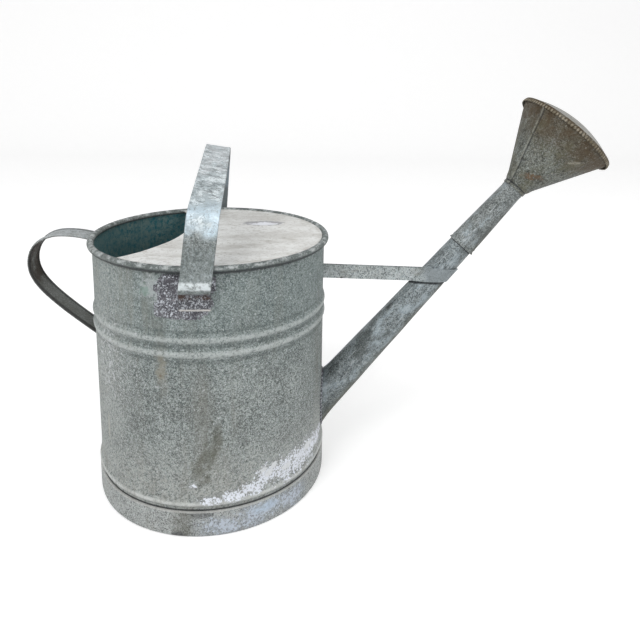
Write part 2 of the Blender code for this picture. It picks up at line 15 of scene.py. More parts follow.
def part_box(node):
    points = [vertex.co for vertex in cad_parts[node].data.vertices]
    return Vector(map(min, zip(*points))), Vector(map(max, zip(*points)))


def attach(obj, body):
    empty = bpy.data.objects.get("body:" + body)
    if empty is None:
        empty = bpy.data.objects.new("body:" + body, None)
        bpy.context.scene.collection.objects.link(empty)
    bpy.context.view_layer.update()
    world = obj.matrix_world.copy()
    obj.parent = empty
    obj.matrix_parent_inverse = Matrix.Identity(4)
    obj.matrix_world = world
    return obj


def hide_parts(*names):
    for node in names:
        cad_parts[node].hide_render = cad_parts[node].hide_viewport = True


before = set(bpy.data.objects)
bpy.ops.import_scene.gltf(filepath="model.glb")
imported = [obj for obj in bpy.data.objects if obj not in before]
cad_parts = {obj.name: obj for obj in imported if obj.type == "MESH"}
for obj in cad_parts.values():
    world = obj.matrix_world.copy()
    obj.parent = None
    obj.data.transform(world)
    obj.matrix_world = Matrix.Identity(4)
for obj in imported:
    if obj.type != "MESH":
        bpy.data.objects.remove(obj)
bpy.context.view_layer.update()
band_low, band_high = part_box("foot_band")
AXIS = Vector(((band_low.x + band_high.x) / 2, (band_low.y + band_high.y) / 2, 0.0))
print("The can's own axis stands at", [round(value, 4) for value in AXIS])

# %% [markdown]
# ## Camera
# The photograph was taken from a little above the rim, with a short lens and with the can low in the
# picture. A lens shift keeps the upright lines of the body nearly parallel, as a tilt would not.

# %% Camera
CAMERA_FROM_AXIS = Vector((0.0808, -0.6463, 0.4374))
CAMERA_TURN = (79.182, -1.179, -3.903)      # degrees
CAMERA_LENS = 34.73                         # mm on a sensor 36 mm wide
CAMERA_SHIFT = (-0.0183, -0.2)

camera_data = bpy.data.cameras.new("camera")
camera_data.sensor_width = 36.0
camera_data.lens = CAMERA_LENS
camera_data.shift_x, camera_data.shift_y = CAMERA_SHIFT
camera_data.clip_start = 0.01
camera = bpy.data.objects.new("camera", camera_data)
bpy.context.scene.collection.objects.link(camera)
camera.location = AXIS + CAMERA_FROM_AXIS
camera.rotation_euler = [math.radians(angle) for angle in CAMERA_TURN]
bpy.context.scene.camera = camera
print("Camera height", round(camera.location.z, 3), "m")

# %% [markdown]
# ## Light
# Old zinc is dull, and a hard light would only show its blotches. So the light is a bright sky and two
# large soft lamps. A Light Path node lets the camera see the sky as plain white.

# %% World and lamps
SKY_LEVEL = 0.72
KEY = {"place": (-1.1, -1.5, 1.9), "size": 1.3, "power": 26.0}
LAMP_TARGET = Vector((0.0, 0.0, 0.15))
FILL = {"place": (1.5, -0.6, 1.2), "size": 1.2, "power": 9.0}

world = bpy.data.worlds.new("pale_sky")
bpy.context.scene.world = world
world.use_nodes = True
sky = world.node_tree.nodes["Background"]
sky.inputs["Color"].default_value = (1.0, 1.0, 1.0, 1.0)
paths = world.node_tree.nodes.new("ShaderNodeLightPath")
level = world.node_tree.nodes.new("ShaderNodeMapRange")
level.inputs["To Min"].default_value = SKY_LEVEL
level.inputs["To Max"].default_value = 1.0
world.node_tree.links.new(paths.outputs["Is Camera Ray"], level.inputs["Value"])
world.node_tree.links.new(level.outputs["Result"], sky.inputs["Strength"])


def add_lamp(name, place, size, power):
    data = bpy.data.lights.new(name, "AREA")
    data.size = size
    data.energy = power
    lamp = bpy.data.objects.new(name, data)
    bpy.context.scene.collection.objects.link(lamp)
    lamp.location = place
    aim = LAMP_TARGET - lamp.location
    lamp.rotation_euler = aim.to_track_quat("-Z", "Y").to_euler()


add_lamp("key", **KEY)
add_lamp("fill", **FILL)
bpy.context.scene.view_settings.view_transform = "Standard"
print("Sky", SKY_LEVEL, "with two lamps")

# %% [markdown]
# ## Floor
# One sheet lies flat under the can and curves up behind it, so the background has no horizon. Its colour
# is pale. A little emission that only camera rays meet brings it near to white and leaves the shadow.

# %% Floor
FLOOR_HALF_WIDTH = 6.0
FLOOR_FRONT = 6.0
FLOOR_BEND_STEPS = 16
FLOOR_BACK = 2.6
FLOOR_BEND = 0.8
FLOOR_TOP = 4.0
FLOOR_GREY = 0.86
FLOOR_LIFT = 0.30           # added for the camera only


def make_floor():
    line = [(-FLOOR_FRONT, 0.0)]
    for step in range(FLOOR_BEND_STEPS + 1):
        turn = math.pi / 2 * step / FLOOR_BEND_STEPS
        line.append((FLOOR_BACK + FLOOR_BEND * math.sin(turn), FLOOR_BEND * (1 - math.cos(turn))))
    line.append((FLOOR_BACK + FLOOR_BEND, FLOOR_TOP))
    points = [(side * FLOOR_HALF_WIDTH, y, z) for y, z in line for side in (-1, 1)]
    faces = [(2 * k, 2 * k + 1, 2 * k + 3, 2 * k + 2) for k in range(len(line) - 1)]
    mesh = bpy.data.meshes.new("floor")
    mesh.from_pydata(points, [], faces)
    mesh.shade_smooth()
    floor = bpy.data.objects.new("floor", mesh)
    bpy.context.scene.collection.objects.link(floor)
    material = bpy.data.materials.new("floor_paper")
    material.use_nodes = True
    shader = material.node_tree.nodes["Principled BSDF"]
    shader.inputs["Base Color"].default_value = (FLOOR_GREY, FLOOR_GREY, FLOOR_GREY, 1.0)
    shader.inputs["Roughness"].default_value = 0.9
    shader.inputs["Specular IOR Level"].default_value = 0.0
    shader.inputs["Emission Color"].default_value = (1.0, 1.0, 1.0, 1.0)
    ray = material.node_tree.nodes.new("ShaderNodeLightPath")
    lift = material.node_tree.nodes.new("ShaderNodeMath")
    lift.operation = "MULTIPLY"
    lift.inputs[1].default_value = FLOOR_LIFT
    material.node_tree.links.new(ray.outputs["Is Camera Ray"], lift.inputs[0])
    material.node_tree.links.new(lift.outputs["Value"], shader.inputs["Emission Strength"])
    mesh.materials.append(material)


make_floor()
print("Floor and backdrop in one sheet")

# %% [markdown]
# ## A paint box for old zinc
# Zinc weathers in layers: a grey-green skin with a fine spangle, white oxide where water stood, brown
# stains, bright metal where it is rubbed. Some layers are painted light and shade instead, such as
# highlights on crests and shade in grooves. Each layer is a mask between 0 and 1 that mixes in a colour.
# A small class keeps that readable, with plain names for what masks do: both, either, between. Every
# pattern reads Object coordinates, in metres, so it keeps its real scale and stays on its piece when the
# rose is pulled off.

# %% The paint box
class Finish:
    """One node material, built up layer by layer."""

    def __init__(self, name, colour, metallic, roughness):
        self.material = bpy.data.materials.new(name)
        self.material.use_nodes = True
        self.tree = self.material.node_tree
        self.shader = self.tree.nodes["Principled BSDF"]
        self.shader.inputs["Metallic"].default_value = metallic
        self.place = self.tree.nodes.new("ShaderNodeTexCoord").outputs["Object"]
        self.colour = self.rgb(colour)
        self.rough = self.number(roughness)
        self.height = self.number(0.0)

    def rgb(self, colour):
        node = self.tree.nodes.new("ShaderNodeRGB")
        node.outputs[0].default_value = (*colour, 1.0)
        return node.outputs[0]

    def number(self, value):
        node = self.tree.nodes.new("ShaderNodeValue")
        node.outputs[0].default_value = value
        return node.outputs[0]

    def link(self, value, socket):
        if isinstance(value, (int, float)):
            socket.default_value = value
        elif isinstance(value, (tuple, Vector)):
            socket.default_value = tuple(value)
        else:
            self.tree.links.new(value, socket)

    def math(self, operation, first, second=0.0):
        node = self.tree.nodes.new("ShaderNodeMath")
        node.operation = operation
        self.link(first, node.inputs[0])
        self.link(second, node.inputs[1])
        return node.outputs[0]

    def vector(self, operation, first, second=(0.0, 0.0, 0.0)):
        node = self.tree.nodes.new("ShaderNodeVectorMath")
        node.operation = operation
        self.link(first, node.inputs[0])
        self.link(second, node.inputs[1])
        return node.outputs["Value" if operation in ("LENGTH", "DOT_PRODUCT") else "Vector"]

    def between(self, value, low, high):
        """0 at low and 1 at high, with soft ends. High may be the lower number."""
        node = self.tree.nodes.new("ShaderNodeMapRange")
        node.interpolation_type = "SMOOTHSTEP"
        self.link(value, node.inputs["Value"])
        flip = low > high
        node.inputs["From Min"].default_value = high if flip else low
        node.inputs["From Max"].default_value = low if flip else high
        node.inputs["To Min"].default_value = 1.0 if flip else 0.0
        node.inputs["To Max"].default_value = 0.0 if flip else 1.0
        return node.outputs["Result"]

    def both(self, first, second):
        """Where two masks meet. A number in place of a mask fades the other one."""
        return self.math("MULTIPLY", first, second)

    def either(self, first, second):
        return self.math("MAXIMUM", first, second)

    def cloud(self, scale, detail=5.0, rough=0.6, stretch=(1.0, 1.0, 1.0), turn=0.0, offset=0.0):
        """Noise of a scale in waves per metre, turned about Y and stretched along the turned axes."""
        mapping = self.tree.nodes.new("ShaderNodeMapping")
        mapping.inputs["Location"].default_value = (offset, offset, offset)
        self.link(self.place, mapping.inputs["Vector"])
        if turn:
            mapping.inputs["Rotation"].default_value = (0.0, -turn, 0.0)
            turned = mapping.outputs[0]
            mapping = self.tree.nodes.new("ShaderNodeMapping")
            self.link(turned, mapping.inputs["Vector"])
        mapping.inputs["Scale"].default_value = [1.0 / value for value in stretch]
        node = self.tree.nodes.new("ShaderNodeTexNoise")
        self.link(mapping.outputs[0], node.inputs["Vector"])
        node.inputs["Scale"].default_value = scale
        node.inputs["Detail"].default_value = detail
        node.inputs["Roughness"].default_value = rough
        return node.outputs["Fac"]

    def mottle(self, low, high, scale, detail=5.0, rough=0.6, stretch=(1.0, 1.0, 1.0), turn=0.0, offset=0.0):
        """A cloud cut between two of its levels, which leaves patches."""
        return self.between(self.cloud(scale, detail, rough, stretch, turn, offset), low, high)

    def cells(self, scale):
        node = self.tree.nodes.new("ShaderNodeTexVoronoi")
        self.link(self.place, node.inputs["Vector"])
        node.inputs["Scale"].default_value = scale
        return node.outputs["Distance"]

    def along(self, direction, origin=(0.0, 0.0, 0.0)):
        """Distance from a place, measured along a direction."""
        shifted = self.vector("SUBTRACT", self.place, tuple(origin))
        return self.vector("DOT_PRODUCT", shifted, tuple(direction))

    def away(self, centre, size):
        """Distance from a place, counted in its own size along X, Y and Z."""
        shifted = self.vector("SUBTRACT", self.place, tuple(centre))
        return self.vector("LENGTH", self.vector("DIVIDE", shifted, tuple(size)))

    def patch(self, centre, size, ragged=0.5, grain=60.0, soft=0.4):
        """A mask round a place, with an edge torn by noise."""
        torn = self.math("MULTIPLY", self.math("SUBTRACT", self.cloud(grain), 0.5), 4.0 * ragged)
        return self.between(self.math("ADD", self.away(centre, size), torn), 1.0 + soft, 1.0 - soft)

    def speckle(self, density, scale, offset=0.0):
        """Fine specks that crowd together where the density nears 1."""
        grain = self.cloud(scale, 4, 0.7, offset=offset)
        return self.between(self.math("ADD", grain, self.both(density, 0.30)), 0.655, 0.715)

    def layer(self, mask, colour, strength=1.0, rough=None, height=0.0):
        """Mix a colour, a roughness and a height in through a mask."""
        if strength != 1.0:
            mask = self.math("MULTIPLY", mask, strength)
        node = self.tree.nodes.new("ShaderNodeMix")
        node.data_type = "RGBA"
        self.link(mask, node.inputs[0])
        self.link(self.colour, node.inputs[6])
        node.inputs[7].default_value = (*colour, 1.0)
        self.colour = node.outputs[2]
        if rough is not None:
            blend = self.tree.nodes.new("ShaderNodeMix")
            self.link(mask, blend.inputs[0])
            self.link(self.rough, blend.inputs[2])
            blend.inputs[3].default_value = rough
            self.rough = blend.outputs[0]
        if height:
            self.height = self.math("ADD", self.height, self.math("MULTIPLY", mask, height))

    def done(self, bump=0.001):
        """Join the layers to the shader. The height is in units of the bump's depth."""
        node = self.tree.nodes.new("ShaderNodeBump")
        node.inputs["Distance"].default_value = bump
        self.link(self.height, node.inputs["Height"])
        self.link(node.outputs["Normal"], self.shader.inputs["Normal"])
        self.link(self.colour, self.shader.inputs["Base Color"])
        self.link(self.rough, self.shader.inputs["Roughness"])
        return self.material


print("Paint box ready")

# %% [markdown]
# ## The colours of the can
# They are read off the photograph and named for what they are on the metal. These are the ones
# that several pieces share. A finish with tones of its own names them just before it uses them.

# %% Colours
SLATE = (0.070, 0.080, 0.076)
ZINC = (0.150, 0.178, 0.172)
MID_ZINC = (0.270, 0.305, 0.295)
PALE_ZINC = (0.37, 0.41, 0.40)
CHALK = (0.62, 0.64, 0.66)
BRIGHT = (0.46, 0.50, 0.49)
WARM_GREY = (0.205, 0.200, 0.172)
OLIVE = (0.080, 0.080, 0.052)
DARK_OLIVE = (0.060, 0.062, 0.040)
RUST = (0.085, 0.046, 0.024)
PLUM = (0.062, 0.060, 0.072)
NIGHT = (0.018, 0.020, 0.024)
DEEP_TEAL = (0.026, 0.155, 0.190)
TEAL = (0.215, 0.300, 0.280)
DECK_PALE = (0.80, 0.81, 0.80)
DECK_SMEAR = (0.46, 0.445, 0.41)
GREEN_TINT = (0.16, 0.30, 0.22)
SAND_GREY = (0.52, 0.55, 0.54)

print("Lightest and darkest of the shared colours:", DECK_PALE, NIGHT)

# %% [markdown]
# ## Places on the wall
# A stain on a round wall is easiest to place by its angle and its height, as a sign painter would do it
# with a tape. Angle 0 is under the spout, and minus 90 degrees faces the photographer.

# %% Places on the wall
BODY_RADIUS = 0.120
RIM_HEIGHT = 0.2664
SHEET = 0.0008
GAP = 0.0003


def on_wall(angle, height):
    turn = math.radians(angle)
    return AXIS + Vector((BODY_RADIUS * math.cos(turn), BODY_RADIUS * math.sin(turn), height))


def from_axis(finish):
    """Distance of a point from the can's upright axis."""
    flat = finish.vector("MULTIPLY", finish.vector("SUBTRACT", finish.place, tuple(AXIS)), (1.0, 1.0, 0.0))
    return finish.vector("LENGTH", flat)


def up(finish):
    node = finish.tree.nodes.new("ShaderNodeSeparateXYZ")
    finish.link(finish.place, node.inputs[0])
    return node.outputs["Z"]


print("A point facing the camera:", [round(value, 3) for value in on_wall(-90, 0.1)])

# %% [markdown]
# ## The skin of weathered zinc
# Every piece starts from the same skin: soft clouds, a fine grain, pale specks and dark pits. The pieces
# differ in their two tones and in how strong the specks are.

# %% Zinc skin
def zinc_skin(name, dark, light, metallic=0.35, roughness=0.5, specks=0.5, stretch=(1, 1, 1), turn=0.0):
    finish = Finish(name, dark, metallic, roughness)
    finish.layer(finish.mottle(0.40, 0.60, 16, 6, 0.62, stretch, turn), light, 0.65, 0.56)
    finish.layer(finish.mottle(0.42, 0.62, 95, 5, 0.7, stretch, turn, 3.0), light, 0.50)
    grain = finish.cloud(360, 5, 0.8, offset=1.7)
    finish.layer(finish.between(grain, 0.47, 0.60), PALE_ZINC, min(1.5 * specks, 1.0), 0.62, 0.25)
    finish.layer(finish.between(grain, 0.48, 0.39), SLATE, 0.92, 0.60, -0.25)
    broad = finish.cloud(42, 6, 0.75, stretch, turn, 5.5)
    finish.layer(finish.between(broad, 0.50, 0.40), SLATE, 0.34)
    finish.layer(finish.between(broad, 0.54, 0.64), PALE_ZINC, 0.34)
    sand = finish.cloud(800, 3, 0.7, offset=4.4)
    finish.layer(finish.between(sand, 0.52, 0.59), SAND_GREY, min(1.3 * specks, 1.0), 0.65, 0.15)
    finish.layer(finish.between(sand, 0.48, 0.40), SLATE, 0.72, 0.55, -0.15)
    finish.layer(finish.mottle(0.64, 0.70, 260, 3, 0.5, offset=7.1), CHALK, 0.75 * specks, 0.75, 0.2)
    return finish


print("Skin: two tones, grain, specks and pits")

# %% [markdown]
# ## Adding a piece
# Every piece is made in the same way: points and faces, faces turned outward, smooth shading with a sharp
# angle that keeps the cut edges crisp, one finish, the solid it stands for hidden, and a parent empty
# for the body that it rides on.

# %% Adding a piece
def face_outward(mesh):
    """Turn every face of a closed mesh outward."""
    work = bmesh.new()
    work.from_mesh(mesh)
    bmesh.ops.recalc_face_normals(work, faces=work.faces)
    work.to_mesh(mesh)
    work.free()


def add_piece(name, points, faces, material, body, node, sharp=40.0):
    mesh = bpy.data.meshes.new(name)
    mesh.from_pydata([tuple(point) for point in points], [], faces)
    face_outward(mesh)
    mesh.shade_smooth()
    mesh.set_sharp_from_angle(angle=math.radians(sharp))
    mesh.materials.append(material)
    piece = bpy.data.objects.new(name, mesh)
    bpy.context.scene.collection.objects.link(piece)
    settle(piece, body, node)
    return piece


def settle(piece, body, node):
    """Hide the solid that the piece stands for and hang the piece on the empty of the body it rides on."""
    if node:
        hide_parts(node)
    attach(piece, body)
    print(piece.name, len(piece.data.polygons), "faces, rides on", body)


# %% [markdown]
# ## Sheet metal as two skins
# A sheet has an outside, an inside and a thin edge between them. If both sides are grids of points with
# the same layout, one function can join them into a closed solid, whatever the piece: a tube, a plate
# or a ring.

# %% Closed sheet from two grids
def grid_faces(rows, columns, start, wrap, flip):
    faces = []
    for i in range(rows if wrap else rows - 1):
        for j in range(columns - 1):
            a = start + i * columns + j
            b = start + ((i + 1) % rows) * columns + j
            face = (a, b, b + 1, a + 1)
            faces.append(face[::-1] if flip else face)
    return faces


def sheet_faces(rows, columns, wrap):
    """Outside, inside and the edges between them, for two grids of the same layout."""
    size = rows * columns
    faces = grid_faces(rows, columns, 0, wrap, False) + grid_faces(rows, columns, size, wrap, True)
    for i in range(rows if wrap else rows - 1):
        a, b = i * columns, ((i + 1) % rows) * columns
        last = columns - 1
        faces.append((b, a, a + size, b + size))
        faces.append((a + last, b + last, b + last + size, a + last + size))
    if not wrap:
        for j in range(columns - 1):
            a, b = j, j + 1
            end = (rows - 1) * columns
            faces.append((a, b, b + size, a + size))
            faces.append((end + b, end + a, end + a + size, end + b + size))
    return faces


def sheet_piece(name, outside, inside, material, body, node, wrap=False, sharp=40.0):
    rows, columns = outside.shape[:2]
    points = np.concatenate([outside.reshape(-1, 3), inside.reshape(-1, 3)])
    add_piece(name, points, sheet_faces(rows, columns, wrap), material, body, node, sharp)


def wavy(points, depth, scale, seed):
    """Small swells of hand-worked sheet, the same for both skins."""
    flat = points.reshape(-1, 3)
    return np.array([depth * noise.noise(Vector(p) * scale + Vector((seed, 0.0, 0.0))) for p in flat])


print("Grids become closed sheet")

# %% [markdown]
# ## Turned pieces
# Wall, foot band, socket and cone are all rolled round an axis. A profile of radius against height, run
# down its outer side, is turned round that axis. The profile is offset by one sheet for the inner skin.

# %% Turning
BEAD_STEPS = 12


def profile_normals(profile):
    line = np.array(profile, float)
    run = np.gradient(line, axis=0)
    run /= np.linalg.norm(run, axis=1)[:, None]
    return np.stack([-run[:, 1], run[:, 0]], axis=1)


def turn_profile(profile, steps, place=None, shape=None):
    """A grid of points: a profile (radius, height) turned round an axis. Shape moves each radius."""
    turns = 2 * math.pi * np.arange(steps) / steps
    line = np.array(profile, float)
    radius = np.repeat(line[None, :, 0], steps, axis=0)
    height = np.repeat(line[None, :, 1], steps, axis=0)
    if shape is not None:
        radius = radius + shape(turns[:, None], height)
    grid = np.stack([radius * np.cos(turns)[:, None], radius * np.sin(turns)[:, None], height], axis=2)
    return put(grid, place or Matrix.Translation(AXIS))


def put(grid, matrix):
    rotation = np.array(matrix.to_3x3())
    return grid @ rotation.T + np.array(matrix.translation)


def turned_piece(name, profile, steps, material, body, node, place=None, shape=None):
    line = np.array(profile, float)
    inner = line - profile_normals(line) * SHEET
    outside = turn_profile(line, steps, place, shape)
    inside = turn_profile(inner, steps, place, shape)
    sheet_piece(name, outside, inside, material, body, node, wrap=True)


def bump_profile(middle, width, rise):
    """The rounded back of a swaged bead, from its top to its foot."""
    places = [middle + width / 2 - width * k / BEAD_STEPS for k in range(BEAD_STEPS + 1)]
    return [(rise * math.cos(math.pi * (z - middle) / width) ** 2, z) for z in places]


print("Turned pieces: profile, steps and an axis")

# %% [markdown]
# ## Body wall
# The wall follows one rule all round, so Geometry Nodes sweep it: the profile with its two swaged beads,
# the low bead over the foot and the rolled rim goes round a circle, then noise gives the swells that
# years of use left, and a Solidify makes the sheet. The outlet under the spout is cut last.

# %% Profile of the wall
RIM_OFFSET = 0.0014
RIM_BEAD_RADIUS = 0.0033
BEADS = ((0.1996, 0.0125, 0.0020), (0.1858, 0.0125, 0.0020), (0.0344, 0.0085, 0.0023))   # height, width, rise
WALL_FOOT = 0.0019
PROFILE_STEP = 0.008
ROLL_START = -80.0          # degrees round the roll
ROLL_SWEEP = 285.0
ROLL_STEPS = 32


def wall_profile():
    """Middle of the sheet, as (radius, height), from the lip of the roll down to the foot."""
    roll = RIM_BEAD_RADIUS - SHEET / 2
    middle = BODY_RADIUS - SHEET / 2
    points = []
    for step in range(ROLL_STEPS + 1):
        turn = math.radians(ROLL_START + ROLL_SWEEP * step / ROLL_STEPS)
        points.append((BODY_RADIUS + RIM_OFFSET + roll * math.cos(turn), RIM_HEIGHT + roll * math.sin(turn)))
    points.append((middle, RIM_HEIGHT - RIM_BEAD_RADIUS - 2 * SHEET))
    height = RIM_HEIGHT - PROFILE_STEP
    for bead_height, width, rise in BEADS:
        while height > bead_height + width / 2 + 0.001:
            points.append((middle, height))
            height -= PROFILE_STEP
        points += [(middle + out, z) for out, z in bump_profile(bead_height, width, rise)]
        height = bead_height - width / 2 - 0.004
    while height > WALL_FOOT + 0.002:
        points.append((middle, height))
        height -= PROFILE_STEP
    points.append((middle, WALL_FOOT))
    return points


print(len(wall_profile()), "points in the wall's profile")

# %% [markdown]
# ## Trees that become plain meshes
# A Geometry Nodes tree gets its sizes from named inputs, so the same tree could make a wider can. It is
# put on a host object as a modifier, evaluated once and kept as a plain mesh, because the frame wants
# finished meshes.

# %% A tree with named inputs
def new_tree(name, inputs):
    """A Geometry Nodes tree with its own named inputs, returned with its two end nodes."""
    tree = bpy.data.node_groups.new(name, "GeometryNodeTree")
    tree.interface.new_socket("Geometry", in_out="INPUT", socket_type="NodeSocketGeometry")
    for label, kind in inputs:
        tree.interface.new_socket(label, in_out="INPUT", socket_type=kind)
    tree.interface.new_socket("Geometry", in_out="OUTPUT", socket_type="NodeSocketGeometry")
    return tree, tree.nodes.new("NodeGroupInput"), tree.nodes.new("NodeGroupOutput")


def node_of(tree, kind, **settings):
    node = tree.nodes.new(kind)
    for key, value in settings.items():
        setattr(node, key, value)
    return node


def apply_tree(host, tree, values, more=()):
    """Set the tree's inputs by identifier, evaluate it, and keep the plain mesh."""
    modifier = host.modifiers.new(tree.name, "NODES")
    modifier.node_group = tree
    for item in tree.interface.items_tree:
        if item.in_out == "INPUT" and item.name in values:
            modifier[item.identifier] = values[item.name]
    for kind, settings in more:
        extra = host.modifiers.new(kind.lower(), kind)
        for key, value in settings.items():
            setattr(extra, key, value)
    bpy.context.view_layer.update()
    graph = bpy.context.evaluated_depsgraph_get()
    mesh = bpy.data.meshes.new_from_object(host.evaluated_get(graph))
    mesh.name = host.name
    host.modifiers.clear()
    host.data = mesh


def host_mesh(name, points, edges=(), faces=()):
    mesh = bpy.data.meshes.new(name)
    mesh.from_pydata([tuple(point) for point in points], list(edges), list(faces))
    if faces:
        face_outward(mesh)
    host = bpy.data.objects.new(name, mesh)
    bpy.context.scene.collection.objects.link(host)
    return host


print("Trees are built in the script, with named inputs")

# %% [markdown]
# ## The tree of the wall
# The profile arrives as a line of edges. It becomes a curve and is swept round a circle. A noise texture
# then moves each point a little along its normal, before the finish is set.

# %% The wall's tree
FLOAT, INTEGER, MATERIAL = "NodeSocketFloat", "NodeSocketInt", "NodeSocketMaterial"


def wall_tree():
    inputs = [("Radius", FLOAT), ("Steps", INTEGER), ("Swell", FLOAT), ("Swell Scale", FLOAT),
              ("Seed", FLOAT), ("Finish", MATERIAL)]
    tree, start, end = new_tree("rolled_wall", inputs)
    link = tree.links.new
    line = node_of(tree, "GeometryNodeMeshToCurve")
    circle = node_of(tree, "GeometryNodeCurvePrimitiveCircle")
    sweep = node_of(tree, "GeometryNodeCurveToMesh")
    link(start.outputs["Geometry"], line.inputs[0])
    link(start.outputs["Radius"], circle.inputs["Radius"])
    link(start.outputs["Steps"], circle.inputs["Resolution"])
    link(circle.outputs[0], sweep.inputs["Curve"])
    link(line.outputs[0], sweep.inputs["Profile Curve"])
    cloud = node_of(tree, "ShaderNodeTexNoise", noise_dimensions="4D")
    link(start.outputs["Swell Scale"], cloud.inputs["Scale"])
    link(start.outputs["Seed"], cloud.inputs["W"])
    centred = node_of(tree, "ShaderNodeMath", operation="SUBTRACT")
    centred.inputs[1].default_value = 0.5
    link(cloud.outputs["Fac"], centred.inputs[0])
    depth = node_of(tree, "ShaderNodeMath", operation="MULTIPLY")
    link(centred.outputs[0], depth.inputs[0])
    link(start.outputs["Swell"], depth.inputs[1])
    normal = node_of(tree, "GeometryNodeInputNormal")
    push = node_of(tree, "ShaderNodeVectorMath", operation="SCALE")
    link(normal.outputs[0], push.inputs[0])
    link(depth.outputs[0], push.inputs["Scale"])
    move = node_of(tree, "GeometryNodeSetPosition")
    link(sweep.outputs[0], move.inputs["Geometry"])
    link(push.outputs[0], move.inputs["Offset"])
    real = node_of(tree, "GeometryNodeRealizeInstances")
    paint = node_of(tree, "GeometryNodeSetMaterial")
    link(move.outputs[0], real.inputs[0])
    link(real.outputs[0], paint.inputs["Geometry"])
    link(start.outputs["Finish"], paint.inputs["Material"])
    link(paint.outputs[0], end.inputs[0])
    return tree


print("Wall tree: sweep, swell, paint")

# %% [markdown]
# ## Finish of the wall
# Read from the photograph, from the rim down: worn metal on the roll with a painted highlight on it and
# painted shade under it, painted highlights on the bead crests with painted shade in the grooves beside
# them, brown runs at the left, an olive stain low in the middle, and white zinc oxide that grew above the
# foot bead on the right. Each of these is a short function that adds its layers to the same finish, in
# the order in which they lie on the metal.

# %% Runs and beads
RUN_BROWN = (0.20, 0.165, 0.11)
CREST_HIGHLIGHT = (0.60, 0.63, 0.62)
FOOT_CREST_HIGHLIGHT = (0.66, 0.68, 0.67)
BLUE_GREEN_CAST = (0.125, 0.205, 0.210)
GROOVE_HEIGHTS = (0.2072, 0.1927, 0.1784)      # over, between and under the pair of beads


def brown_runs(finish):
    """Brown runs at the left, a pale mark and a green one under the rim."""
    runs = finish.mottle(0.52, 0.70, 34, 5, 0.6, (1, 1, 9), offset=2.0)
    finish.layer(runs, WARM_GREY, 0.45)
    left = finish.patch(on_wall(-140, 0.215), (0.045, 0.05, 0.055), 0.4, 40)
    finish.layer(finish.both(left, runs), RUN_BROWN, 0.9)
    finish.layer(finish.patch(on_wall(-106, 0.190), (0.006, 0.02, 0.040), 0.6, 80), WARM_GREY, 0.45)
    finish.layer(finish.patch(on_wall(-110.5, 0.249), (0.008, 0.02, 0.011), 1.0, 220), CHALK, 0.50)
    finish.layer(finish.patch(on_wall(-113, 0.244), (0.004, 0.02, 0.005), 0.9, 260), GREEN_TINT, 0.45)


def bead_crests(finish, height, radius):
    """Painted highlights on the crests of the beads, over some rubbed metal, and painted shade in the grooves
    beside them.
    """
    crown = finish.both(finish.between(radius, BODY_RADIUS + 0.0007, BODY_RADIUS + 0.0019),
                        finish.between(height, RIM_HEIGHT - 0.006, RIM_HEIGHT - 0.009))
    ridge = finish.both(finish.between(height, 0.0328, 0.0340), finish.between(height, 0.0370, 0.0350))
    # Painted highlight on the crests of the beads and on the foot bead's ridge, over some rubbed metal.
    lit = finish.both(finish.either(crown, ridge), finish.mottle(0.36, 0.54, 330, 5, 0.8))
    finish.layer(lit, CREST_HIGHLIGHT, 0.72, 0.42)
    # Painted shade in the grooves over, between and under the pair of beads.
    for groove in GROOVE_HEIGHTS:
        level = finish.math("ABSOLUTE", finish.math("SUBTRACT", height, groove))
        groove_shade = finish.both(finish.between(level, 0.0026, 0.0006), finish.mottle(0.36, 0.56, 210, 5, 0.8))
        finish.layer(groove_shade, SLATE, 0.55)
    # A second painted highlight along the foot bead's ridge.
    foot_crest_highlight = finish.both(ridge, finish.mottle(0.34, 0.52, 90, 6, 0.75, offset=6.6))
    finish.layer(foot_crest_highlight, FOOT_CREST_HIGHLIGHT, 0.62, 0.4)
    finish.layer(finish.between(height, 0.130, 0.235), BLUE_GREEN_CAST, 0.24)


print("Grooves at", GROOVE_HEIGHTS)

# %% [markdown]
# ## Dust, stains and white bloom
# Damp zinc grows a white oxide, thickest where water stood above the foot bead. It is built as many
# overlapping patches that only say how dense the specks are, so its edge is ragged as on the real can.

# %% Dust, stains and bloom
DUST = (0.56, 0.57, 0.545)
BLOOM_GROUND = (0.34, 0.35, 0.37)
BLOOM_WHITE = (0.84, 0.87, 0.93)
FLAKE_WHITE = (0.78, 0.80, 0.82)
STAINS = ((-90, 0.068, 0.009, 0.012), (-86.5, 0.082, 0.007, 0.013), (-82.5, 0.100, 0.005, 0.014))
BLOOMS = ((-84, 0.037, 0.012, 0.004), (-75, 0.039, 0.014, 0.006), (-66, 0.043, 0.014, 0.008),
          (-58, 0.050, 0.015, 0.011), (-48, 0.048, 0.017, 0.014), (-38, 0.049, 0.017, 0.015),
          (-28, 0.051, 0.017, 0.014), (-18, 0.051, 0.014, 0.011), (-93, 0.053, 0.0035, 0.0025))
FLAKES = ((-60.5, 0.0575, 0.0034), (-55.0, 0.0585, 0.0034), (-57.5, 0.0530, 0.0040),
          (-47.5, 0.0500, 0.0045), (-31.0, 0.0560, 0.0050))


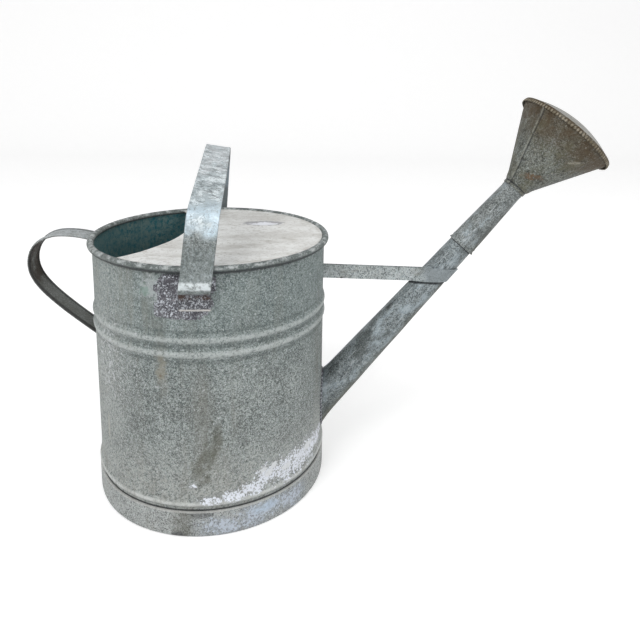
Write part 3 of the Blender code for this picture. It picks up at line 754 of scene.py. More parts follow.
def dust_stains_and_rim_shade(finish, height):
    """Pale dust low down and at the left, painted shade under the roll, then the olive stain that runs down
    in the middle.
    """
    side = finish.along((1.0, 0.0, 0.0), AXIS)
    dusty = finish.either(finish.both(finish.between(height, 0.115, 0.045), 0.9),
                          finish.both(finish.between(side, -0.045, -0.100), 0.7))
    dusty = finish.both(dusty, finish.mottle(0.40, 0.60, 420, 5, 0.8, offset=2.9))
    finish.layer(dusty, DUST, 0.66, 0.6)
    # Painted shade in a band on the wall under the roll.
    finish.layer(finish.between(height, RIM_HEIGHT - 0.0050, RIM_HEIGHT - 0.0030), SLATE, 0.55)
    low = finish.between(height, 0.075, 0.036)
    finish.layer(finish.both(low, finish.mottle(0.46, 0.62, 70, 6, 0.7)), WARM_GREY, 0.40, 0.65)
    for angle, z, wide, tall in STAINS:
        finish.layer(finish.patch(on_wall(angle, z), (wide, 0.03, tall), 0.9, 110, 0.6), OLIVE, 0.50, 0.42)


def white_bloom(finish):
    """A grey ground, crowded specks and a few thick flakes, then thin specks elsewhere."""
    density = finish.number(0.0)
    for angle, z, wide, tall in BLOOMS:
        density = finish.either(density, finish.patch(on_wall(angle, z), (wide, wide, tall), 0.5, 90, 0.75))
    finish.layer(density, BLOOM_GROUND, 0.35, 0.7)
    finish.layer(finish.speckle(finish.both(density, 0.80), 460, 2.6), BLOOM_WHITE, 0.94, 0.85, 0.4)
    for angle, z, wide in FLAKES:
        flake = finish.patch(on_wall(angle, z), (wide, 0.01, wide * 0.8), 0.9, 260, 0.2)
        finish.layer(flake, FLAKE_WHITE, 0.9, 0.9, 0.7)
    splash = finish.patch(on_wall(-139, 0.160), (0.030, 0.03, 0.045), 0.5, 60, 0.8)
    finish.layer(finish.speckle(finish.both(splash, 0.42), 330, 5.0), CHALK, 0.9, 0.8, 0.3)
    finish.layer(finish.speckle(0.08, 300, 8.0), CHALK, 0.8, 0.8, 0.3)


print(len(BLOOMS), "patches of bloom and", len(FLAKES), "flakes")

# %% [markdown]
# ## Small marks, the roll and the inside
# The last layers are the smallest: a rust spot, a scratch, lines of painted shade under the roll and
# above the foot band, and worn metal with a painted highlight on top of the roll. Inside the can the skin
# is a dark wet teal.

# %% Small marks and the inside
SPOT_BROWN = (0.32, 0.30, 0.23)
SCRATCH_PALE = (0.50, 0.50, 0.44)
WORN_RIM_HIGHLIGHT = (0.50, 0.53, 0.53)


def marks_and_shade_lines(finish, height):
    finish.layer(finish.patch(on_wall(-106.5, 0.1635), (0.0013, 0.01, 0.0013), 0.3, 300), RUST, 0.9)
    finish.layer(finish.patch(on_wall(-106.0, 0.1700), (0.0040, 0.02, 0.0110), 0.8, 160), SPOT_BROWN, 0.45)
    scratch = finish.away(on_wall(-142, 0.090), (0.0012, 0.03, 0.017))
    finish.layer(finish.between(scratch, 1.1, 0.6), SCRATCH_PALE, 0.6)
    # Painted shadow line that the top edge of the foot band throws on the wall.
    finish.layer(finish.between(height, 0.0292, 0.0282), NIGHT, 0.80)
    # Painted shade on the underside of the roll and on the wall just below it.
    under_roll_shade = finish.both(finish.between(height, RIM_HEIGHT - 0.0060, RIM_HEIGHT - 0.0034),
                             finish.between(height, RIM_HEIGHT + 0.0002, RIM_HEIGHT - 0.0016))
    finish.layer(under_roll_shade, NIGHT, 0.72)
    # Worn metal with a painted highlight on top of the roll.
    worn_highlight = finish.both(finish.between(height, RIM_HEIGHT - 0.0004, RIM_HEIGHT + 0.0016),
                       finish.mottle(0.46, 0.60, 130, 5, 0.75, offset=9.0))
    finish.layer(worn_highlight, WORN_RIM_HIGHLIGHT, 0.85, 0.4)


def inner_skin(finish, height, radius):
    """Teal all over the inner side of the sheet, paler towards the back of the can, where the deck leaves the
    mouth open.
    """
    inside = finish.both(finish.between(radius, BODY_RADIUS - 0.0004, BODY_RADIUS - 0.0005),
                         finish.between(height, RIM_HEIGHT - 0.001, RIM_HEIGHT - 0.003))
    finish.layer(inside, DEEP_TEAL, 1.0, 0.35)
    back = finish.along((1.0, 0.0, 0.0), AXIS)
    paler_back = finish.math("ADD", finish.between(back, 0.035, -0.085), finish.mottle(0.55, 0.72, 45, 5, 0.6))
    paler_back = finish.both(finish.both(inside, paler_back), finish.mottle(0.36, 0.60, 230, 5, 0.75))
    finish.layer(paler_back, TEAL, 0.75, 0.5)


def wall_finish():
    finish = zinc_skin("wall_zinc", ZINC, MID_ZINC, 0.30, 0.50, 0.50)
    radius = from_axis(finish)
    height = up(finish)
    brown_runs(finish)
    bead_crests(finish, height, radius)
    dust_stains_and_rim_shade(finish, height)
    white_bloom(finish)
    marks_and_shade_lines(finish, height)
    inner_skin(finish, height, radius)
    return finish.done(0.0006)


wall_zinc = wall_finish()
print("Wall finish has", len(wall_zinc.node_tree.nodes), "nodes")

# %% [markdown]
# ## The wall and its outlet
# The wall is swept round the origin and then moved to the can's axis. A leaning cylinder, a little
# narrower than the spout's root, cuts the outlet, so water could really run into the spout.

# %% Make the wall
SPOUT_HEIGHT = 0.0780
SPOUT_RISE = math.radians(49.5)
SPOUT_ROOT_RADIUS = 0.0191
SPOUT_TIP_RADIUS = 0.0125
SPOUT_LENGTH = 0.264
SPOUT_PLACE = (Matrix.Translation(AXIS + Vector((BODY_RADIUS, 0.0, SPOUT_HEIGHT)))
               @ Matrix.Rotation(math.pi / 2 - SPOUT_RISE, 4, "Y"))
OUTLET_RADIUS = 0.0161
OUTLET_ENDS = (-0.035, 0.024)       # of the cutter, along the spout
OUTLET_SIDES = 32


def make_outlet_cutter():
    sides = OUTLET_SIDES
    turns = [2 * math.pi * k / sides for k in range(sides)]
    points = [(OUTLET_RADIUS * math.cos(turn), OUTLET_RADIUS * math.sin(turn), z)
              for z in OUTLET_ENDS for turn in turns]
    faces = [(k, (k + 1) % sides, sides + (k + 1) % sides, sides + k) for k in range(sides)]
    faces += [tuple(reversed(range(sides))), tuple(range(sides, 2 * sides))]
    cutter = host_mesh("outlet_cutter", points, (), faces)
    cutter.data.transform(SPOUT_PLACE)
    return cutter


def make_wall():
    profile = [(radius - BODY_RADIUS, -height, 0.0) for radius, height in wall_profile()]
    wall = host_mesh("wall_sheet", profile, [(k, k + 1) for k in range(len(profile) - 1)])
    values = {"Radius": BODY_RADIUS, "Steps": 180, "Swell": 0.0007, "Swell Scale": 13.0, "Seed": 4.0,
              "Finish": wall_zinc}
    cutter = make_outlet_cutter()
    cutter.data.transform(Matrix.Translation(-AXIS))
    apply_tree(wall, wall_tree(), values, [
        ("SOLIDIFY", {"thickness": SHEET, "offset": 0.0, "use_even_offset": True}),
        ("BOOLEAN", {"object": cutter, "operation": "DIFFERENCE", "solver": "EXACT"})])
    bpy.data.objects.remove(cutter, do_unlink=True)
    wall.data.transform(Matrix.Translation(AXIS))
    wall.data.shade_smooth()
    wall.data.set_sharp_from_angle(angle=math.radians(50))
    settle(wall, "can", "body_wall")


make_wall()

# %% [markdown]
# ## Foot band
# A strip folded double round the foot, rolled in under the can. Its top edge throws a dark line under
# the foot bead, painted as shadow in the wall's finish. It gets the warm grey of the lower wall, with a
# blue-white bloom at the right and a painted highlight along its top edge.

# %% Foot band
BAND_TOP = 0.0271
BAND_OUT = BODY_RADIUS + GAP + 0.0018
BAND_DARK = (0.39, 0.40, 0.395)
BAND_LIGHT = (0.62, 0.63, 0.625)
BAND_BLOOM_GROUND = (0.27, 0.30, 0.35)
BAND_BLOOM = (0.58, 0.64, 0.72)
BAND_STREAK = (0.52, 0.64, 0.76)
BAND_EDGE_HIGHLIGHT = (0.56, 0.56, 0.54)
BAND_BLOOMS = ((-66, 0.014, 0.020, 0.012), (-56, 0.017, 0.020, 0.010), (-44, 0.013, 0.018, 0.011))


def band_finish():
    finish = zinc_skin("band_zinc", BAND_DARK, BAND_LIGHT, 0.12, 0.55, 1.0)
    finish.layer(finish.mottle(0.52, 0.66, 60, 6, 0.7, (1, 1, 3)), WARM_GREY, 0.3)
    density = finish.patch(on_wall(-80, 0.010), (0.022, 0.02, 0.009), 0.5, 90, 0.8)
    for angle, z, wide, tall in BAND_BLOOMS:
        density = finish.either(density, finish.patch(on_wall(angle, z), (wide, wide, tall), 0.5, 90, 0.8))
    finish.layer(density, BAND_BLOOM_GROUND, 0.60, 0.7)
    finish.layer(finish.speckle(finish.both(density, 0.72), 400, 1.1), BAND_BLOOM, 0.85, 0.8, 0.3)
    finish.layer(finish.patch(on_wall(-60, 0.0185), (0.012, 0.02, 0.0045), 0.5, 120, 0.6), BAND_STREAK, 0.55)
    finish.layer(finish.patch(on_wall(-97, 0.013), (0.009, 0.02, 0.014), 0.9, 100, 0.6), OLIVE, 0.55)
    finish.layer(finish.patch(on_wall(-100.5, 0.001), (0.006, 0.02, 0.005), 0.6, 120), NIGHT, 0.7)
    finish.layer(finish.patch(on_wall(-89, 0.024), (0.013, 0.02, 0.003), 0.6, 120), NIGHT, 0.5)
    # Painted highlight along the top edge of the band.
    finish.layer(finish.between(up(finish), 0.0254, 0.0264), BAND_EDGE_HIGHLIGHT, 0.6, 0.4)
    return finish.done(0.0006)


def make_band():
    inside = BODY_RADIUS + GAP
    turn_in = BAND_OUT - 0.0040
    outer = [(BAND_OUT - 0.0010, BAND_TOP), (BAND_OUT - 0.0003, BAND_TOP - 0.0003),
             (BAND_OUT, BAND_TOP - 0.0009)]
    outer += [(BAND_OUT, BAND_TOP - (BAND_TOP - 0.003) * k / 6) for k in range(1, 7)]
    outer += [(BAND_OUT - 0.0003, 0.0011), (BAND_OUT - 0.0012, 0.0002), (BAND_OUT - 0.0022, 0.0),
              (turn_in, 0.0)]
    inner = [(inside, BAND_TOP), (inside, BAND_TOP - 0.0003), (inside, BAND_TOP - 0.0009)]
    inner += [(inside, BAND_TOP - (BAND_TOP - 0.003) * k / 6) for k in range(1, 7)]
    inner += [(inside, 0.0018), (inside - 0.0001, 0.00165), (inside - 0.0006, 0.0016), (turn_in, 0.0016)]
    sheet_piece("foot_strip", turn_profile(outer, 180), turn_profile(inner, 180), band_finish(),
                "can", "foot_band", wrap=True)


make_band()

# %% [markdown]
# ## Deck
# The half cover of the mouth is a disc with a hollow edge, hemmed for strength. Lines are drawn from the
# hollow edge to the rim, like the ribs of a fan, so the grid is finest where the hem folds. It sags a
# little, and something once dropped on it: a shallow dent, with a painted highlight in it.

# %% Deck
DECK_TOP = RIM_HEIGHT + 0.0014
DECK_CUT_RADIUS = 0.173
DECK_CUT_REACH = 0.030
DECK_CUT_TURN = math.radians(171.4)
DECK_HEM_WIDTH = 0.0045
DECK_HEM_THICKNESS = 0.0017
DECK_OUT = BODY_RADIUS + RIM_OFFSET - RIM_BEAD_RADIUS - GAP
DENT = Vector((0.0528, 0.046, 0.0))
DENT_SIZE = (0.017, 0.0075)


def deck_grid():
    """Points from the hollow edge to the rim, as two flat coordinates and the distance from the edge."""
    reach = DECK_CUT_REACH + DECK_CUT_RADIUS
    middle = np.array([reach * math.cos(DECK_CUT_TURN), reach * math.sin(DECK_CUT_TURN)])
    cosine = (reach ** 2 + DECK_CUT_RADIUS ** 2 - DECK_OUT ** 2) / (2 * reach * DECK_CUT_RADIUS)
    half = math.acos(cosine)
    corner = (reach ** 2 + DECK_OUT ** 2 - DECK_CUT_RADIUS ** 2) / (2 * reach * DECK_OUT)
    sweep = math.pi - math.acos(corner)
    shares = np.linspace(-1.0, 1.0, 161)
    back = DECK_CUT_TURN + math.pi
    near_turns = back + half * shares
    near = middle + DECK_CUT_RADIUS * np.stack([np.cos(near_turns), np.sin(near_turns)], 1)
    far = DECK_OUT * np.stack([np.cos(back + sweep * shares), np.sin(back + sweep * shares)], 1)
    hem = np.array([0.0, 0.0006, 0.0020, DECK_HEM_WIDTH - 0.0008, DECK_HEM_WIDTH,
                    DECK_HEM_WIDTH + 0.0008])
    length = np.linalg.norm(far - near, axis=1).clip(1e-6)
    rest = np.linspace(0.0, 1.0, 61)[1:]
    start = np.minimum(hem[None, :] / length[:, None], np.linspace(0.02, 0.12, 6)[None, :])
    shares_in = np.concatenate([start, start[:, -1:] + (1 - start[:, -1:]) * rest[None, :]], axis=1)
    flat = near[:, None, :] + (far - near)[:, None, :] * shares_in[:, :, None]
    return flat, shares_in * length[:, None]


print("The deck's fan has", deck_grid()[0].shape[:2], "points")

# %% [markdown]
# ## The deck's surface
# The fan of points is flat. This step gives it height: a sag towards the middle, the dent with the low
# ring that a blow pushes up round it, the step of the hem, and a small swell.

# %% Shape of the deck
DECK_SAG = 0.0007
DENT_DEPTH = 0.0016
DENT_RING = 0.0005
HEM_STEP = 0.0004


def make_deck(material):
    flat, inward = deck_grid()
    radius = np.linalg.norm(flat, axis=2)
    sag = -DECK_SAG * np.cos(math.pi / 2 * (radius / DECK_OUT).clip(0, 1))
    away = np.hypot((flat[:, :, 0] - DENT.x) / DENT_SIZE[0], (flat[:, :, 1] - DENT.y) / DENT_SIZE[1])
    dent = -DENT_DEPTH * np.exp(-away ** 2 * 1.6) + DENT_RING * np.exp(-((away - 1.25) / 0.35) ** 2)
    fold = HEM_STEP * (inward < DECK_HEM_WIDTH) - HEM_STEP * (inward < HEM_STEP)
    inner = radius / DECK_OUT < 0.97
    top = DECK_TOP + (sag + dent) * inner + fold
    top = top + wavy(np.dstack([flat, top]), 0.0005, 26.0, 3.0).reshape(top.shape) * inner
    thick = np.where(inward < DECK_HEM_WIDTH, DECK_HEM_THICKNESS, SHEET)
    outside = np.dstack([flat + np.array(AXIS)[:2], top])
    inside = np.dstack([flat + np.array(AXIS)[:2], top - thick])
    sheet_piece("deck_sheet", outside[::-1], inside[::-1], material, "can", "deck_plate",
                sharp=30.0)


print("Dent", DENT_DEPTH * 1000, "mm deep")

# %% [markdown]
# ## Finish of the deck
# The deck is the palest piece, chalked by rain that dried on it. Smears of dirt run from side to side, and
# the dent is painted with a white highlight inside a ring of painted shade.

# %% Deck finish
DECK_DIRT = (0.36, 0.34, 0.30)
DECK_GRAIN = (0.62, 0.61, 0.58)
DENT_SHADE = (0.25, 0.25, 0.28)
DENT_HIGHLIGHT = (0.88, 0.90, 0.96)


def deck_finish():
    finish = Finish("deck_zinc", DECK_PALE, 0.12, 0.55)
    finish.layer(finish.mottle(0.44, 0.62, 14, 6, 0.65, (2.2, 1, 1)), DECK_SMEAR, 0.55, 0.5)
    finish.layer(finish.mottle(0.50, 0.66, 52, 6, 0.75, (2.4, 1, 1), offset=2.0), DECK_SMEAR, 0.60)
    grain = finish.cloud(380, 5, 0.8, (1.6, 1, 1), offset=4.0)
    finish.layer(finish.between(grain, 0.49, 0.36), DECK_DIRT, 0.7, height=-0.2)
    finish.layer(finish.between(grain, 0.56, 0.72), DECK_GRAIN, 0.6)
    edge = finish.between(from_axis(finish), DECK_OUT - 0.008, DECK_OUT)
    finish.layer(finish.both(edge, finish.mottle(0.38, 0.6, 90, 4)), DECK_SMEAR, 0.6)
    dent_size = (DENT_SIZE[0] * 1.1, DENT_SIZE[1] * 1.2, 0.02)
    dent = finish.away(AXIS + DENT + Vector((0.0, 0.0, DECK_TOP)), dent_size)
    ragged = finish.both(finish.math("SUBTRACT", finish.cloud(160), 0.5), 1.6)
    torn = finish.math("ADD", dent, ragged)
    # Painted shade round the dent and a painted highlight in it.
    finish.layer(finish.between(torn, 1.40, 0.95), DENT_SHADE, 0.72)
    finish.layer(finish.between(torn, 0.85, 0.60), DENT_HIGHLIGHT, 0.90, 0.3)
    return finish.done(0.0004)


make_deck(deck_finish())

# %% [markdown]
# ## Spout
# A cone of sheet that leans forward. Its lower end must follow the round wall, so for each line down
# the tube the place where it meets the wall is worked out, and the grid starts there. A few shallow
# dents make the light break along it, as it does on the old tube.

# %% Spout
SPOUT_SIDES = 96
SPOUT_ROWS = 110
ROOT_FLARE = 0.0012
SPOUT_DENTS = ((-95, 0.086, 0.016, 0.0013), (-70, 0.128, 0.013, 0.0010), (-110, 0.150, 0.020, 0.0008),
               (-60, 0.060, 0.018, 0.0008), (60, 0.110, 0.025, 0.0009))    # angle, place, size, depth


def spout_radius(along):
    return SPOUT_ROOT_RADIUS - (SPOUT_ROOT_RADIUS - SPOUT_TIP_RADIUS) / SPOUT_LENGTH * along


def root_place(turns, radius, wall):
    """How far up the axis a line of the tube meets a wall of that radius."""
    lean = math.sin(SPOUT_RISE)
    level = np.sqrt(wall ** 2 - (radius * np.sin(turns)) ** 2)
    return (level - BODY_RADIUS - radius * np.cos(turns) * lean) / math.cos(SPOUT_RISE)


def spout_grid(inset):
    turns = 2 * math.pi * np.arange(SPOUT_SIDES) / SPOUT_SIDES
    start = root_place(turns, SPOUT_ROOT_RADIUS + 0.0008 - inset, BODY_RADIUS + GAP)
    shares = np.linspace(0.0, 1.0, SPOUT_ROWS)
    along = start[:, None] + (SPOUT_LENGTH - start)[:, None] * shares[None, :]
    flare = ROOT_FLARE * np.exp(-((along - start[:, None]) / 0.008) ** 2)
    radius = spout_radius(along) + flare - inset
    for angle, place, size, depth in SPOUT_DENTS:
        side = (np.degrees(turns) - angle + 180) % 360 - 180
        across = np.radians(side)[:, None] * SPOUT_ROOT_RADIUS
        radius = radius - depth * np.exp(-((along - place) ** 2 + (1.4 * across) ** 2) / size ** 2 * 2)
    swell = 0.00045 * np.sin(turns * 3 + 1.0)[:, None] * np.sin(along * 95.0)
    radius = radius + swell
    grid = np.stack([radius * np.cos(turns)[:, None], radius * np.sin(turns)[:, None], along], axis=2)
    return put(grid, SPOUT_PLACE)


print(len(SPOUT_DENTS), "dents pressed into the spout")

# %% [markdown]
# ## Finish of the spout
# The spout and the rose's socket are one kind of tube, so one function paints both. Its clouds are turned
# to lie along the tube, and its underside is darkened with painted shade. The spout then gets painted
# shadow under the brace's band and at the mouth of the socket, beyond which the tip is rubbed bright.

# %% Finish of the spout
SPOUT_DARK = (0.135, 0.165, 0.18)
SPOUT_LIGHT = (0.21, 0.25, 0.275)
TUBE_STREAK = (0.42, 0.49, 0.53)
TUBE_SCRATCH = (0.50, 0.54, 0.56)
TUBE_LEAN = math.pi / 2 - SPOUT_RISE
SPOUT_AHEAD = Vector((math.cos(SPOUT_RISE), 0.0, math.sin(SPOUT_RISE)))
SPOUT_UNDER = Vector((math.sin(SPOUT_RISE), 0.0, -math.cos(SPOUT_RISE)))
SPOUT_ROOT = AXIS + Vector((BODY_RADIUS, 0.0, SPOUT_HEIGHT))
BAND_PLANE = (0.0363, 0.2126, 1.0)      # across the band of the brace


def tube_finish(name, dark, light, streaks):
    finish = zinc_skin(name, dark, light, 0.45, 0.40, 0.35, (1, 1, 3.0), TUBE_LEAN)
    finish.layer(finish.mottle(0.48, 0.62, 60, 6, 0.75, (1, 1, 2.2), TUBE_LEAN, 1.0), TUBE_STREAK,
                 streaks, 0.35)
    finish.layer(finish.mottle(0.52, 0.64, 45, 6, 0.7, (1, 1, 1.6), TUBE_LEAN, 6.0), SLATE, 0.60, 0.5)
    finish.layer(finish.mottle(0.60, 0.66, 330, 3, 0.6, (1, 1, 7), TUBE_LEAN, 8.0), TUBE_SCRATCH, 0.45, 0.4)
    finish.layer(finish.mottle(0.64, 0.69, 150, 3, 0.6, (1, 1, 3), TUBE_LEAN, 12.0), NIGHT, 0.6, height=-0.4)
    # Painted shade, in olive, on the underside of the tube.
    finish.layer(finish.between(finish.along(SPOUT_UNDER, SPOUT_ROOT), 0.005, 0.015), OLIVE, 0.7, 0.55)
    return finish


def spout_shadows_and_rub(finish):
    """Painted shadow under the brace's band and at the mouth of the rose's socket."""
    # Painted shadow where the brace's band crosses the spout and at the mouth of the socket.
    level = finish.along(BAND_PLANE, AXIS)
    band_shadow = finish.both(finish.between(level, 0.2197, 0.2208), finish.between(level, 0.2232, 0.2224))
    finish.layer(band_shadow, NIGHT, 0.85)
    reach = finish.along(SPOUT_AHEAD, SPOUT_ROOT)
    mouth_shadow = finish.both(finish.between(reach, 0.2312, 0.2324), finish.between(reach, 0.2342, 0.2336))
    finish.layer(mouth_shadow, NIGHT, 0.85)
    finish.layer(finish.between(reach, 0.2336, 0.2346), BRIGHT, 0.45, 0.35)
    return finish.done(0.0005)


spout_zinc = spout_shadows_and_rub(tube_finish("spout_zinc", SPOUT_DARK, SPOUT_LIGHT, 0.65))
sheet_piece("spout_sheet", spout_grid(0.0)[::-1], spout_grid(SHEET)[::-1], spout_zinc, "can",
            "spout_tube", wrap=True)

# %% [markdown]
# ## Solder round the root
# Solder is a lumpy rope laid in the corner. Its line is the same meeting curve, and its thickness varies.

# %% Root solder
SOLDER_THICK = 0.0017
SOLDER_LUMP = 0.0005
SOLDER_MID = (0.15, 0.15, 0.165)
SOLDER_CELL = (0.19, 0.19, 0.21)
SOLDER_SPECK = (0.70, 0.74, 0.80)
SOLDER_WARM = (0.30, 0.29, 0.31)


def make_root_solder(material):
    steps, sides = 160, 12
    turns = 2 * math.pi * np.arange(steps) / steps
    radius = SPOUT_ROOT_RADIUS + 0.0020
    along = root_place(turns, radius, BODY_RADIUS + 0.0005)
    ring = np.stack([radius * np.cos(turns), radius * np.sin(turns), along], axis=1)
    line = put(ring[None], SPOUT_PLACE)[0]
    ahead = np.roll(line, -1, axis=0) - np.roll(line, 1, axis=0)
    ahead /= np.linalg.norm(ahead, axis=1)[:, None]
    out = line - np.array([AXIS.x, AXIS.y, 0.0])
    out[:, 2] = 0.0
    out /= np.linalg.norm(out, axis=1)[:, None]
    side = np.cross(ahead, out)
    points = []
    for k in range(steps):
        thick = SOLDER_THICK + SOLDER_LUMP * noise.noise(Vector(line[k]) * 160)
        for s in range(sides):
            turn = 2 * math.pi * s / sides
            points.append(line[k] + thick * (math.cos(turn) * out[k] * 0.7 + math.sin(turn) * side[k] * 1.1))
    faces = []
    for k in range(steps):
        for s in range(sides):
            a, b = k * sides + s, ((k + 1) % steps) * sides + s
            c, d = ((k + 1) % steps) * sides + (s + 1) % sides, k * sides + (s + 1) % sides
            faces.append((a, d, c, b))
    add_piece("root_solder", points, faces, material, "can", "spout_root_solder", 80)


def solder_finish():
    finish = Finish("solder", PLUM, 0.25, 0.6)
    finish.layer(finish.mottle(0.42, 0.64, 70, 6, 0.7), SOLDER_MID, 0.8, 0.5, 0.3)
    finish.layer(finish.between(finish.cells(420), 0.42, 0.20), SOLDER_CELL, 0.6, height=0.4)
    specks = finish.mottle(0.49, 0.57, 560, 4, 0.8, offset=3.3)
    lumps = finish.mottle(0.36, 0.54, 130, 5, 0.7, offset=9.9)
    finish.layer(finish.both(specks, lumps), SOLDER_SPECK, 0.90, 0.5, 0.5)
    finish.layer(finish.mottle(0.62, 0.70, 200, 4, 0.6, offset=6.3), SOLDER_WARM, 0.8)
    return finish.done(0.0009)


solder_metal = solder_finish()
make_root_solder(solder_metal)

# %% [markdown]
# ## Straps
# Handles and brace are long strips with folded or rolled edges. One function sweeps a closed section
# along a path. The path is first made even and its corners are eased, as a bent strip has no sharp ones.

# %% Path and section of a strap
SECTION_STEPS = 6


def smooth_line(points, spacing, soften):
    """Even points along a path, with its corners eased."""
    line = np.array(points, float)
    lengths = np.r_[0, np.cumsum(np.linalg.norm(np.diff(line, axis=0), axis=1))]
    places = np.linspace(0, lengths[-1], max(int(lengths[-1] / spacing), 8))
    even = np.stack([np.interp(places, lengths, line[:, k]) for k in range(line.shape[1])], axis=1)
    for _ in range(soften):
        even[1:-1] = (even[:-2] + 2 * even[1:-1] + even[2:]) / 4
    return even


def strap_section(width, web, edge, fold):
    """A flat web with a round bead on each edge, as (out, across), run anticlockwise."""
    bead = (width - edge) / 2
    flat = bead - fold
    points = []
    for face in (1, -1):
        for k in range(SECTION_STEPS + 1):
            points.append((face * web / 2, face * (-flat + 2 * flat * k / SECTION_STEPS)))
        for k in range(SECTION_STEPS + 1):
            turn = math.pi * k / SECTION_STEPS
            points.append((face * edge / 2 * math.cos(turn), face * (bead + edge / 2 * math.sin(turn))))
    return points


print("A strap's section has", 4 * (SECTION_STEPS + 1), "points")

# %% [markdown]
# ## Straps as pieces
# The swept points are joined ring by ring and closed at both ends. Two attributes go with them: how far
# each point lies from the middle of the strap, outward and across, in millimetres.

# %% Straps as pieces
def sweep_strap(line, outward, width_axis, section):
    """Points of the section at each place of the path, with their side and place across the width."""
    points = []
    for place, out in zip(line, outward):
        for away, across in section:
            points.append(place + away * out + across * width_axis)
    return np.array(points)


def strap_piece(name, points, count, section, material, node):
    sides = len(section)
    faces = []
    for k in range(count - 1):
        for s in range(sides):
            a, b = k * sides + s, k * sides + (s + 1) % sides
            faces.append((a, b, b + sides, a + sides))
    faces.append(tuple(reversed(range(sides))))
    faces.append(tuple(range((count - 1) * sides, count * sides)))
    piece = add_piece(name, points, faces, material, "can", node, 50)
    for label, values in zip(("side", "across"), zip(*section)):
        layer = piece.data.attributes.new(label, "FLOAT", "POINT")
        layer.data.foreach_set("value", [value * 1000 for value in values] * count)


def attribute(finish, name):
    node = finish.tree.nodes.new("ShaderNodeAttribute")
    node.attribute_name = name
    return node.outputs["Fac"]


def smooth_step(low, high, value):
    share = np.clip((value - low) / (high - low), 0.0, 1.0)
    return share * share * (3.0 - 2.0 * share)


print("Straps carry their side and their place across as attributes")

# %% [markdown]
# ## Carry handle
# The strap stands outside the rim on both sides, with a bulge over the roll, and its arch has been bent
# out of true: the near shoulder is pushed down and forward, the far one stands up. The same steps as in
# the solids bend the fine strap, so it lies where they do.

# %% Carry handle
CARRY = {"width": 0.0287, "web": 0.0014, "edge": 0.0022, "arch_rise": 0.0301, "tip": 0.0174, "roll": 0.15,
         "spring": RIM_HEIGHT + 0.0407, "squareness": 6.0, "foot": RIM_HEIGHT - 0.0381,
         "foot_top": RIM_HEIGHT - 0.0224, "joggle": 0.0100, "joggle_out": 0.0042, "turn": 2.6,
         "shift": -0.0064, "lean_front": 0.0118, "lean_back": 0.0066, "fold": 0.0026}
CARRY_LEG = BODY_RADIUS + RIM_OFFSET + RIM_BEAD_RADIUS + GAP + CARRY["edge"] / 2


def carry_line():
    foot = BODY_RADIUS + GAP + CARRY["edge"] / 2
    low, step, bulge = CARRY["foot_top"], CARRY["joggle"] / 2, CARRY_LEG + CARRY["joggle_out"]
    side = [(foot, CARRY["foot"]), (foot, low),
            (CARRY_LEG + 0.4 * CARRY["joggle_out"], low + 0.5 * step)]
    side += [(bulge, low + 1.5 * step), (bulge, low + 2.5 * step), (CARRY_LEG, low + 4.0 * step)]
    arch = []
    power = 2.0 / CARRY["squareness"]
    for turn in np.linspace(0, math.pi, 121):
        share = math.sin(turn) ** power if turn < math.pi else 0.0
        across = -math.copysign(abs(math.cos(turn)) ** power, math.cos(turn)) * CARRY_LEG
        rise = CARRY["arch_rise"] + CARRY["tip"] * across / CARRY_LEG
        arch.append((across, CARRY["spring"] + share * rise))
    return smooth_line([(-a, b) for a, b in side] + arch + side[::-1], 0.0016, 3)


def make_carry_handle(material):
    flat = carry_line()
    run = np.gradient(flat, axis=0)
    run /= np.linalg.norm(run, axis=1)[:, None]
    line = np.stack([np.zeros(len(flat)), flat[:, 0], flat[:, 1]], axis=1)
    outward = np.stack([np.zeros(len(flat)), -run[:, 1], run[:, 0]], axis=1)
    section = strap_section(CARRY["width"], CARRY["web"], CARRY["edge"], CARRY["fold"])
    p = sweep_strap(line, outward, np.array([1.0, 0.0, 0.0]), section)
    crown = CARRY["spring"] + CARRY["arch_rise"]
    rise = np.maximum(p[:, 2] - CARRY["foot_top"], 0.0) / (crown - CARRY["foot_top"])
    share = (1.0 - p[:, 1] / CARRY_LEG) / 2
    lean = CARRY["lean_back"] + (CARRY["lean_front"] - CARRY["lean_back"]) * share
    p[:, 2] -= CARRY["roll"] * p[:, 0] * smooth_step(CARRY["spring"], crown, p[:, 2])
    p[:, 0] += CARRY["shift"] + lean * rise
    wrap = 1.0 - smooth_step(RIM_HEIGHT, CARRY["spring"] + RIM_BEAD_RADIUS, p[:, 2])
    hollow = np.abs(p[:, 1]) - np.sqrt(np.maximum(p[:, 1] ** 2 - p[:, 0] ** 2, 0.0))
    p[:, 1] -= np.copysign(hollow * wrap, p[:, 1])
    p = put(p, Matrix.Translation(AXIS) @ Matrix.Rotation(math.radians(CARRY["turn"]), 4, "Z"))
    strap_piece("carry_strap", p, len(flat), section, material, "carry_handle")


print("The carry handle's path has", len(carry_line()), "points")

# %% [markdown]
# ## Finish of the carry handle
# From the crown down: a painted highlight on the crown, then a blue-white wash with dark nets in it,
# partly a white deposit and partly painted light on the upturned arch, a band of painted reflection, and
# grey legs darkened with painted shade. There is a painted highlight on the joggle where the strap passes
# the rim, rust and painted shade under it, and feet that are drowned in dark solder, with a painted
# highlight along their lower edge. Painted shade darkens the inner side and a line along each rolled edge.

